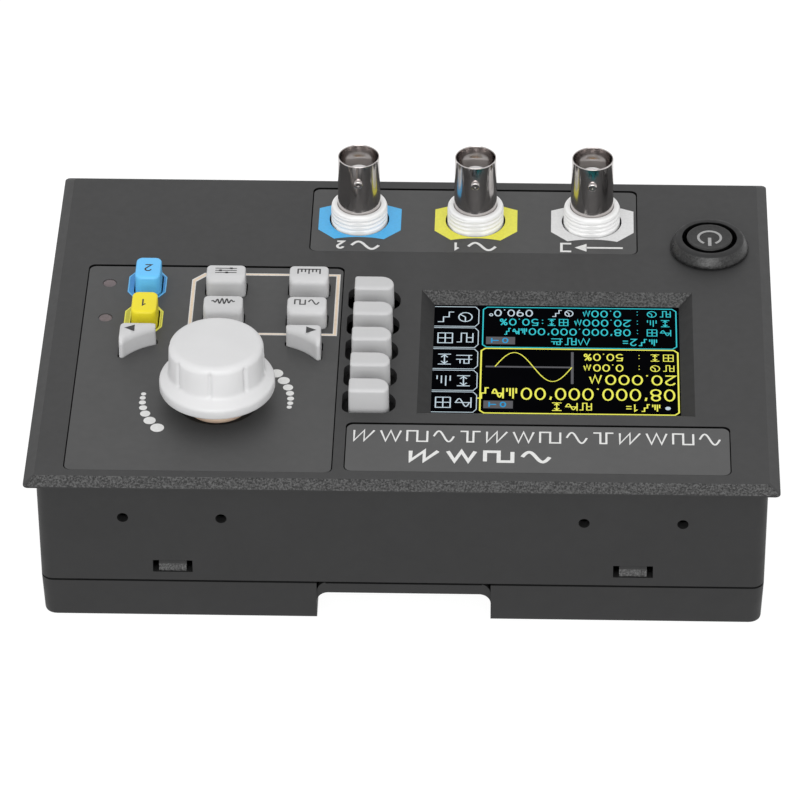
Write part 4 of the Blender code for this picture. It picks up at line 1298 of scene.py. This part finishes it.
# ---------------------------------------------------------------- power button
POWER_BORE_R = 6.4
BEZEL_FOOT_Z = 39.9               # the bezel's skirt rests on the panel here
BEZEL_FLOOR_Z = 38.5
SYMBOL_R = 2.64
SYMBOL_GAP = radians(31)


def power_button():
    cap = Span("power_cap")
    centre = cap.mid[:2]
    low, high, r = cap.foot, cap.top, cap.half[0]
    bm = solid(turned, centre, [
        (0.0, low), (r - 0.1, low), (r, low + 0.1), (r, high - 0.35), (r - 0.06, high - 0.15),
        (r - 0.2, high - 0.03), (r - 0.4, high), (r - 0.6, high - 0.03), (r - 0.9, high - 0.1),
        (3.5, high - 0.2), (2.0, high - 0.27), (0.0, high - 0.3)], 96)
    made = piece("power_button_cap", bm, ["cap", "button_gloss"], "power_cap", "power_button", angle=40)
    for face in made.data.polygons:
        if abs(face.normal.z) < 0.3:
            face.material_index = 1

    low, level = high - 0.35, high - 0.16
    points = arc(centre, SYMBOL_R, pi / 2 + SYMBOL_GAP, pi / 2 + tau - SYMBOL_GAP, 48)
    bm = solid(ribbon, points, 0.58, low, level)
    ribbon(bm, [(centre[0], centre[1] + 0.1), (centre[0], centre[1] + 3.4)], 0.8, low, level + 0.01)
    piece("power_symbol", bm, "ink_symbol", body="power_button")


def power_ring():
    """The bezel: a textured slope, a satin top and a gloss bore."""
    centre = Span("power_cap").mid[:2]
    bezel = Span("power_bezel")
    top, low, foot = bezel.top, bezel.foot, BEZEL_FOOT_Z
    bore, stem, hole = POWER_BORE_R, 7.0, 5.75
    bm = solid(turned, centre, [
        (hole, low), (stem, low), (stem, foot), (8.95, foot), (9.12, foot + 0.05), (9.2, foot + 0.2),
        (9.18, foot + 0.45), (8.95, foot + 1.0), (8.6, foot + 1.7), (8.25, foot + 2.3), (8.05, foot + 2.6),
        (7.85, foot + 2.82), (7.6, foot + 2.95), (7.2, top), (bore + 0.16, top), (bore + 0.06, top - 0.04),
        (bore, top - 0.15), (bore, BEZEL_FLOOR_Z), (hole, BEZEL_FLOOR_Z)], 128)
    made = piece("power_ring", bm, ["button", "button_slope", "button_gloss"], "power_bezel", angle=50)
    for face in made.data.polygons:
        away = hypot(face.center.x / MM - centre[0], face.center.y / MM - centre[1])
        if away > 8.0:
            face.material_index = 1
        elif away < bore + 0.03:
            face.material_index = 2


# ---------------------------------------------------------------- display
def round_stroke(x, y, half_x, half_y, start=0.0, end=360.0, steps=16):
    """Part of an ellipse, from one angle to another in degrees."""
    angles = [radians(start + (end - start) * i / steps) for i in range(steps + 1)]
    return [(x + half_x * cos(a), y + half_y * sin(a)) for a in angles]


# Strokes of each figure in a cell one wide and one high; a figure's advance follows
FIGURES = {
    "0": ([round_stroke(0.5, 0.5, 0.42, 0.5)], 1.22),
    "1": ([[(0.32, 0.74), (0.7, 1.0), (0.7, 0.0)]], 1.1),
    "2": ([round_stroke(0.5, 0.72, 0.4, 0.28, 170, -20, 10) + [(0.06, 0.0), (0.94, 0.0)]], 1.22),
    "5": ([[(0.88, 1.0), (0.18, 1.0), (0.12, 0.56)]
           + round_stroke(0.46, 0.32, 0.44, 0.32, 100, -140, 12)], 1.22),
    "8": ([round_stroke(0.5, 0.76, 0.36, 0.24), round_stroke(0.5, 0.27, 0.42, 0.27)], 1.22),
    "9": ([round_stroke(0.5, 0.7, 0.4, 0.3), [(0.9, 0.72), (0.84, 0.3), (0.56, 0.0)]], 1.22),
    "'": ([[(0.2, 1.02), (0.12, 0.74)]], 0.6),
    ".": ([[(0.1, 0.0), (0.26, 0.0)]], 0.56),
    ":": ([[(0.2, 0.14), (0.36, 0.14)], [(0.2, 0.66), (0.36, 0.66)]], 0.8),
    "%": ([[(0.85, 1.0), (0.15, 0.0)], round_stroke(0.25, 0.78, 0.18, 0.2, steps=8),
           round_stroke(0.78, 0.22, 0.18, 0.2, steps=8)], 1.1),
    "=": ([[(0.1, 0.3), (0.9, 0.3)], [(0.1, 0.66), (0.9, 0.66)]], 1.1),
}

# Small drawings that stand where the real display has words, in a cell one wide and one high
ICONS = {
    "wave": [[(0.0, 0.0), (0.0, 1.0)], [(0.0, 0.5), (1.0, 0.5)], sine_points((0.52, 0.5), (0.42, 0.38))],
    "level": [[(0.1, 0.0), (0.9, 0.0)], [(0.1, 1.0), (0.9, 1.0)], [(0.5, 0.1), (0.5, 0.9)],
              [(0.3, 0.7), (0.5, 0.92), (0.7, 0.7)], [(0.3, 0.3), (0.5, 0.08), (0.7, 0.3)]],
    "shift": [[(0.0, 0.1), (1.0, 0.1)], [(0.0, 0.5), (1.0, 0.5)],
              [(0.2, 0.1), (0.2, 0.9), (0.5, 0.9), (0.5, 0.5)], [(0.75, 0.5), (0.75, 0.9)]],
    "duty": [[(0.0, 0.0), (0.0, 0.9), (0.38, 0.9), (0.38, 0.0), (0.72, 0.0), (0.72, 0.9), (1.0, 0.9)],
             [(0.0, 0.45), (0.38, 0.45)]],
    "phase": [round_stroke(0.5, 0.5, 0.42, 0.46), [(0.5, 0.5), (0.5, 0.96)], [(0.5, 0.5), (0.84, 0.22)]],
    "grid": [[(0.05, 0.0), (0.05, 1.0), (0.95, 1.0), (0.95, 0.0), (0.05, 0.0)], [(0.05, 0.5), (0.95, 0.5)],
             [(0.5, 0.0), (0.5, 1.0)]],
    "bars": [[(0.1, 0.0), (0.1, 0.5)], [(0.37, 0.0), (0.37, 1.0)], [(0.64, 0.0), (0.64, 0.75)],
             [(0.91, 0.0), (0.91, 0.35)]],
    "steps": [[(0.0, 0.0), (0.3, 0.0), (0.3, 0.5), (0.65, 0.5), (0.65, 1.0), (1.0, 1.0)]],
    "tri": [[(0.0, 0.0), (0.25, 0.9), (0.55, 0.0), (0.8, 0.9), (1.0, 0.2)]],
}
TABS = 0.812                      # where the tabs begin, across the display


class Pen:
    """Draws in one colour on the lit area of the display, with u and v from 0 to 1, right and up."""

    def __init__(self):
        glass = Span("display_glass")
        self.low = (glass.mid[0] - SCREEN_HALF[0], glass.mid[1] - SCREEN_HALF[1])
        self.size = (2 * SCREEN_HALF[0], 2 * SCREEN_HALF[1])
        self.z = glass.top
        self.bm = bmesh.new()

    def levels(self, lift):
        return self.z + lift, self.z + lift + 0.02

    def at(self, u, v):
        return (self.low[0] + self.size[0] * u, self.low[1] + self.size[1] * v)

    def line(self, points, width=0.28, closed=False, lift=0.0):
        ribbon(self.bm, [self.at(*p) for p in points], width, *self.levels(lift), closed)

    def area(self, u0, v0, u1, v1):
        corners = [self.at(u0, v0), self.at(u1, v0), self.at(u1, v1), self.at(u0, v1)]
        prism(self.bm, corners, *self.levels(0.0))

    def cell(self, strokes, u, v, width, height, weight, lift=0.0):
        """Strokes of a unit cell, drawn in a box width by height millimetres."""
        x, y = self.at(u, v)
        for stroke in strokes:
            points = [(x + width * a, y + height * b) for a, b in stroke]
            ribbon(self.bm, points, weight, *self.levels(lift))

    def figures(self, words, u, v, width, height, weight, lift=0.0):
        """A number; returns where it ends."""
        for mark in words:
            strokes, advance = FIGURES[mark]
            self.cell(strokes, u, v, width, height, weight, lift)
            u += advance * width / self.size[0]
        return u

    def icons(self, kinds, u, v, width, height, weight, pitch=1.25):
        for kind in kinds.split():
            self.cell(ICONS[kind], u, v, width, height, weight)
            u += pitch * width / self.size[0]
        return u

    def frame(self, u0, v0, u1, v1, width):
        a, b = 0.016, 0.022
        self.line([(u0 + a, v0), (u1 - a, v0), (u1, v0 + b), (u1, v1 - b), (u1 - a, v1), (u0 + a, v1),
                   (u0, v1 - b), (u0, v0 + b)], width, closed=True)


def draw_switch(pens, u, v):
    """A grey pill with a blue slider mark."""
    pens["grey"].area(u, v, u + 0.118, v + 0.068)
    blue = pens["blue"]
    blue.figures("0", u + 0.028, v + 0.013, 1.35, 1.75, 0.34, 0.02)
    blue.line([(u + 0.067, v + 0.034), (u + 0.095, v + 0.034)], 0.34, lift=0.02)
    blue.line([(u + 0.095, v + 0.013), (u + 0.095, v + 0.055)], 0.34, lift=0.02)


def display_pieces():
    span = Span("display_glass")
    outline = rounded_box(span.mid[:2], span.half[:2], 0.6, 6)
    edge = grown(outline, -0.1)
    low, high = span.foot, span.top
    bm = solid(stack, [(edge, low), (outline, low + 0.1), (outline, high - 0.1), (edge, high)])
    piece("display_panel", bm, "glass", "display_glass", angle=25)
    pens = {colour: Pen() for colour in PIXELS}
    draw_first_channel(pens)
    draw_second_channel(pens)
    draw_tabs(pens["white"])
    for colour in sorted(pens):
        piece("display_marks_" + colour, pens[colour].bm, "lit_" + colour)


def draw_first_channel(pens):
    """The yellow box: two large numbers, two small ones and a sine."""
    pen = pens["yellow"]
    big, middle, small = (2.55, 4.2, 0.46), (2.5, 3.5, 0.44), (1.72, 2.5, 0.33)
    pen.frame(0.008, 0.398, TABS - 0.008, 0.988, 0.37)
    end = pen.figures("08'000.000'00", 0.022, 0.761, *big)
    pen.icons("bars wave steps", end + 0.004, 0.761, 2.6, 4.0, 0.4)
    end = pen.figures("20.000", 0.018, 0.634, *middle)
    pen.icons("tri", end + 0.006, 0.634, 2.6, 3.4, 0.4)
    end = pen.figures("0.00", 0.229, 0.538, *small)
    pen.icons("tri", end + 0.004, 0.538, 1.5, 2.4, 0.3)
    pen.figures("50.0%", 0.229, 0.44, *small)
    for v, kinds in ((0.538, "duty phase"), (0.44, "grid level")):
        pen.icons(kinds, 0.025, v, 2.45, 2.5, 0.24)
        pen.figures(":", 0.158, v, 1.4, 2.4, 0.26)
    end = pen.icons("bars steps", 0.082, 0.896, 1.9, 2.6, 0.32)
    pen.figures("1=", end, 0.896, 1.5, 2.6, 0.34)
    pen.icons("duty wave level", 0.358, 0.89, 2.7, 2.9, 0.28, 1.2)
    wave = [(0.437 + 0.31 * i / 48, 0.566 + 0.131 * sin(tau * i / 48)) for i in range(49)]
    pen.line(wave, 0.24, lift=0.02)
    pens["white"].line(round_stroke(0.052, 0.928, 0.0055, 0.0075), 0.62)
    pens["grey"].line([(0.437, 0.566), (0.785, 0.566)], 0.55)
    pens["grey"].line([(0.435, 0.425), (0.435, 0.717)], 0.6)
    draw_switch(pens, 0.672, 0.877)


def draw_second_channel(pens):
    """The cyan box: a heading and three rows of small numbers."""
    pen, white = pens["cyan"], pens["white"]
    small = (1.71, 2.45, 0.32)
    pen.frame(0.012, 0.012, TABS - 0.012, 0.386, 0.28)
    end = pen.icons("bars steps", 0.09, 0.298, 1.9, 2.5, 0.3)
    pen.figures("2=", end, 0.298, 1.5, 2.5, 0.32)
    pen.icons("tri duty shift", 0.365, 0.296, 2.6, 2.8, 0.27, 1.2)
    draw_switch(pens, 0.668, 0.29)
    end = pen.figures("08'000.000'00", 0.198, 0.209, *small)
    pen.icons("bars wave steps", end, 0.209, 1.5, 2.4, 0.28)
    end = pen.figures("20.000", 0.198, 0.121, *small)
    end = pen.icons("tri", end, 0.121, 1.5, 2.4, 0.3, 1.6)
    end = pen.icons("grid level", end + 0.01, 0.119, 2.2, 2.5, 0.24)
    pen.figures(":50.0%", end, 0.121, *small)
    end = pen.figures("0.00", 0.237, 0.036, *small)
    pen.icons("tri", end, 0.036, 1.5, 2.4, 0.3)
    end = white.icons("phase steps", 0.43, 0.034, 2.2, 2.5, 0.26)
    end = white.figures("090.0", end + 0.07, 0.036, *small)
    white.cell([round_stroke(0.5, 0.5, 0.5, 0.5, steps=10)], end, 0.073, 0.7, 0.9, 0.26)
    for v, kinds in ((0.207, "wave grid"), (0.119, "level bars"), (0.033, "duty phase")):
        pen.icons(kinds, 0.035, v, 2.45, 2.5, 0.24)
        pen.figures(":", 0.163, v, 1.4, 2.4, 0.26)


def draw_tabs(pen):
    """Five tabs up the right edge, with two drawings on each."""
    pairs = ("phase steps", "duty grid", "shift level", "level bars", "wave grid")
    height = 0.986 / len(pairs)
    inner = TABS + 0.006
    for i, kinds in enumerate(pairs):
        v0 = 0.012 + i * height
        v1 = v0 + height - 0.014
        pen.line([(0.999, v0), (TABS + 0.02, v0), (inner, v0 + 0.028), (inner, v1 - 0.028),
                  (TABS + 0.02, v1), (0.999, v1)], 0.2)
        pen.icons(kinds, TABS + 0.028, v0 + 0.05, 3.7, 3.9, 0.28, 1.22)


# ---------------------------------------------------------------- lights, sockets and inside
def light_pieces():
    for number, name in enumerate(LIGHTS, 1):
        span = Span(name)
        centre, low, high = span.mid[:2], span.foot, span.top
        bm = solid(turned, centre, [
            (0.0, low), (1.4, low), (1.4, KEY_UNDER), (2.3, KEY_UNDER), (2.3, 37.0), (1.5, 37.0),
            (1.5, high - 0.06), (1.46, high - 0.02), (1.35, high), (0.0, high)], 48)
        piece(f"light_lens_{number}", bm, "light", name)


def socket_pieces():
    face = JACK.low[0]
    centre = (JACK.mid[1], JACK_Z)
    bm = solid(box, (face + 2.4, *JACK.low[1:]), JACK.high)
    jack = piece("power_jack", bm, "socket", "power_socket")
    nose = solid(bar, "x", circle(centre, 3.9, 64), face, face + 4.0)
    bore = solid(bar, "x", circle(centre, 2.9, 64), face - 1.0, face + 10.7)
    carved(jack, [bore], bevel=0.15, joins=[nose])
    bm = solid(bar, "x", circle(centre, 1.0, 32), face + 1.7, face + 10.9)
    pin = piece("power_jack_pin", bm, "nickel")
    carved(pin, [], bevel=0.3, segments=3)

    low = USB.low[0]
    y, z = USB.mid[1], USB_Z
    bm = solid(box, USB.low, USB.high)
    shell = piece("data_socket_shell", bm, "nickel", "usb_socket")
    mouth = [(y - 4.2, z - 3.9), (y + 4.2, z - 3.9), (y + 4.2, z + 2.4), (y + 2.7, z + 3.9),
             (y - 2.7, z + 3.9), (y - 4.2, z + 2.4)]
    carved(shell, [solid(bar, "x", mouth, low - 1, low + 8.9)], bevel=0.2)
    bm = solid(box, (low + 1.0, y - 2.8, z - 1.6), (low + 9.2, y + 2.8, z + 1.6))
    tongue = piece("data_socket_tongue", bm, "white")
    carved(tongue, [], bevel=0.25)


def inside_materials():
    """CAD nodes whose shape is right keep it, and get a better finish."""
    finishes = {"main_board": "board", "front_board": "board_dark", "display_module": "steel",
                "power_nut": "button", "power_switch": "socket", "encoder_plunger": "socket"}
    for board in ("main", "front"):
        for i in range(1, 5):
            finishes[f"{board}_screw_{i}"] = "steel"
    for name, finish in finishes.items():
        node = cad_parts[name]
        node.data.materials.clear()
        node.data.materials.append(FINISHES[finish])


# ---------------------------------------------------------------- camera, floor and lights
# The camera that was fitted to the photograph, with its angles in degrees
CAMERA_AT = (-30.54, 1006.42, 754.58)
CAMERA_TURN = (53.84, 0.32, 181.62)
CAMERA_LENS = 241.06
FLOOR_DROP = 0.2                  # keeps the floor a hair under the case
FLOOR_RADIUS = 6000.0


def camera():
    data = bpy.data.cameras.new("camera")
    data.lens = CAMERA_LENS
    data.sensor_width = 36.0
    data.clip_start = 0.05
    data.clip_end = 20.0
    made = linked("camera", data)
    made.location = Vector(CAMERA_AT) * MM
    made.rotation_euler = [radians(a) for a in CAMERA_TURN]
    bpy.context.scene.camera = made


def floor():
    bm = bmesh.new()
    outline = circle((0.0, 0.0), FLOOR_RADIUS, 64)
    bm.faces.new([bm.verts.new((x * MM, y * MM, -FLOOR_DROP * MM)) for x, y in outline])
    mesh = bpy.data.meshes.new("floor")
    bm.to_mesh(mesh)
    bm.free()
    g = Graph("floor_paper")
    mesh.materials.append(g.set(
        Base_Color=g.ramp(g.noise(60.0, 2.0), 0.12, 0.13), Roughness=0.9, Specular_IOR_Level=0.1,
        Emission_Strength=0.95, Emission_Color=(1.0, 1.0, 1.0, 1.0)))
    linked("floor", mesh)


def area_light(name, place, target, size, power):
    """A soft light, with its places and size in metres."""
    data = bpy.data.lights.new(name, "AREA")
    data.shape = "RECTANGLE"
    data.size, data.size_y = size
    data.energy = power
    made = linked(name, data)
    made.location = place
    made.rotation_euler = (Vector(target) - Vector(place)).to_track_quat("-Z", "Y").to_euler()


def studio():
    """White surroundings and one large light on the camera's side."""
    world = bpy.data.worlds.new("studio")
    world.use_nodes = True
    background = world.node_tree.nodes["Background"]
    background.inputs["Color"].default_value = (1.0, 1.0, 1.0, 1.0)
    background.inputs["Strength"].default_value = 0.88
    bpy.context.scene.world = world
    area_light("front_softbox", (0.0, 1.55, 0.85), (0.0, 0.0, 0.03), (1.6, 0.9), 15.0)
    bpy.context.scene.view_settings.view_transform = "Standard"


def build():
    make_finishes()
    camera()
    floor()
    studio()
    cover_piece()
    tray_piece()
    film_pieces()
    for name in ALL_KEYS:
        key_piece(name)
    knob_shell()
    encoder_pieces()
    coax_pieces()
    power_ring()
    power_button()
    display_pieces()
    light_pieces()
    socket_pieces()
    inside_materials()


build()
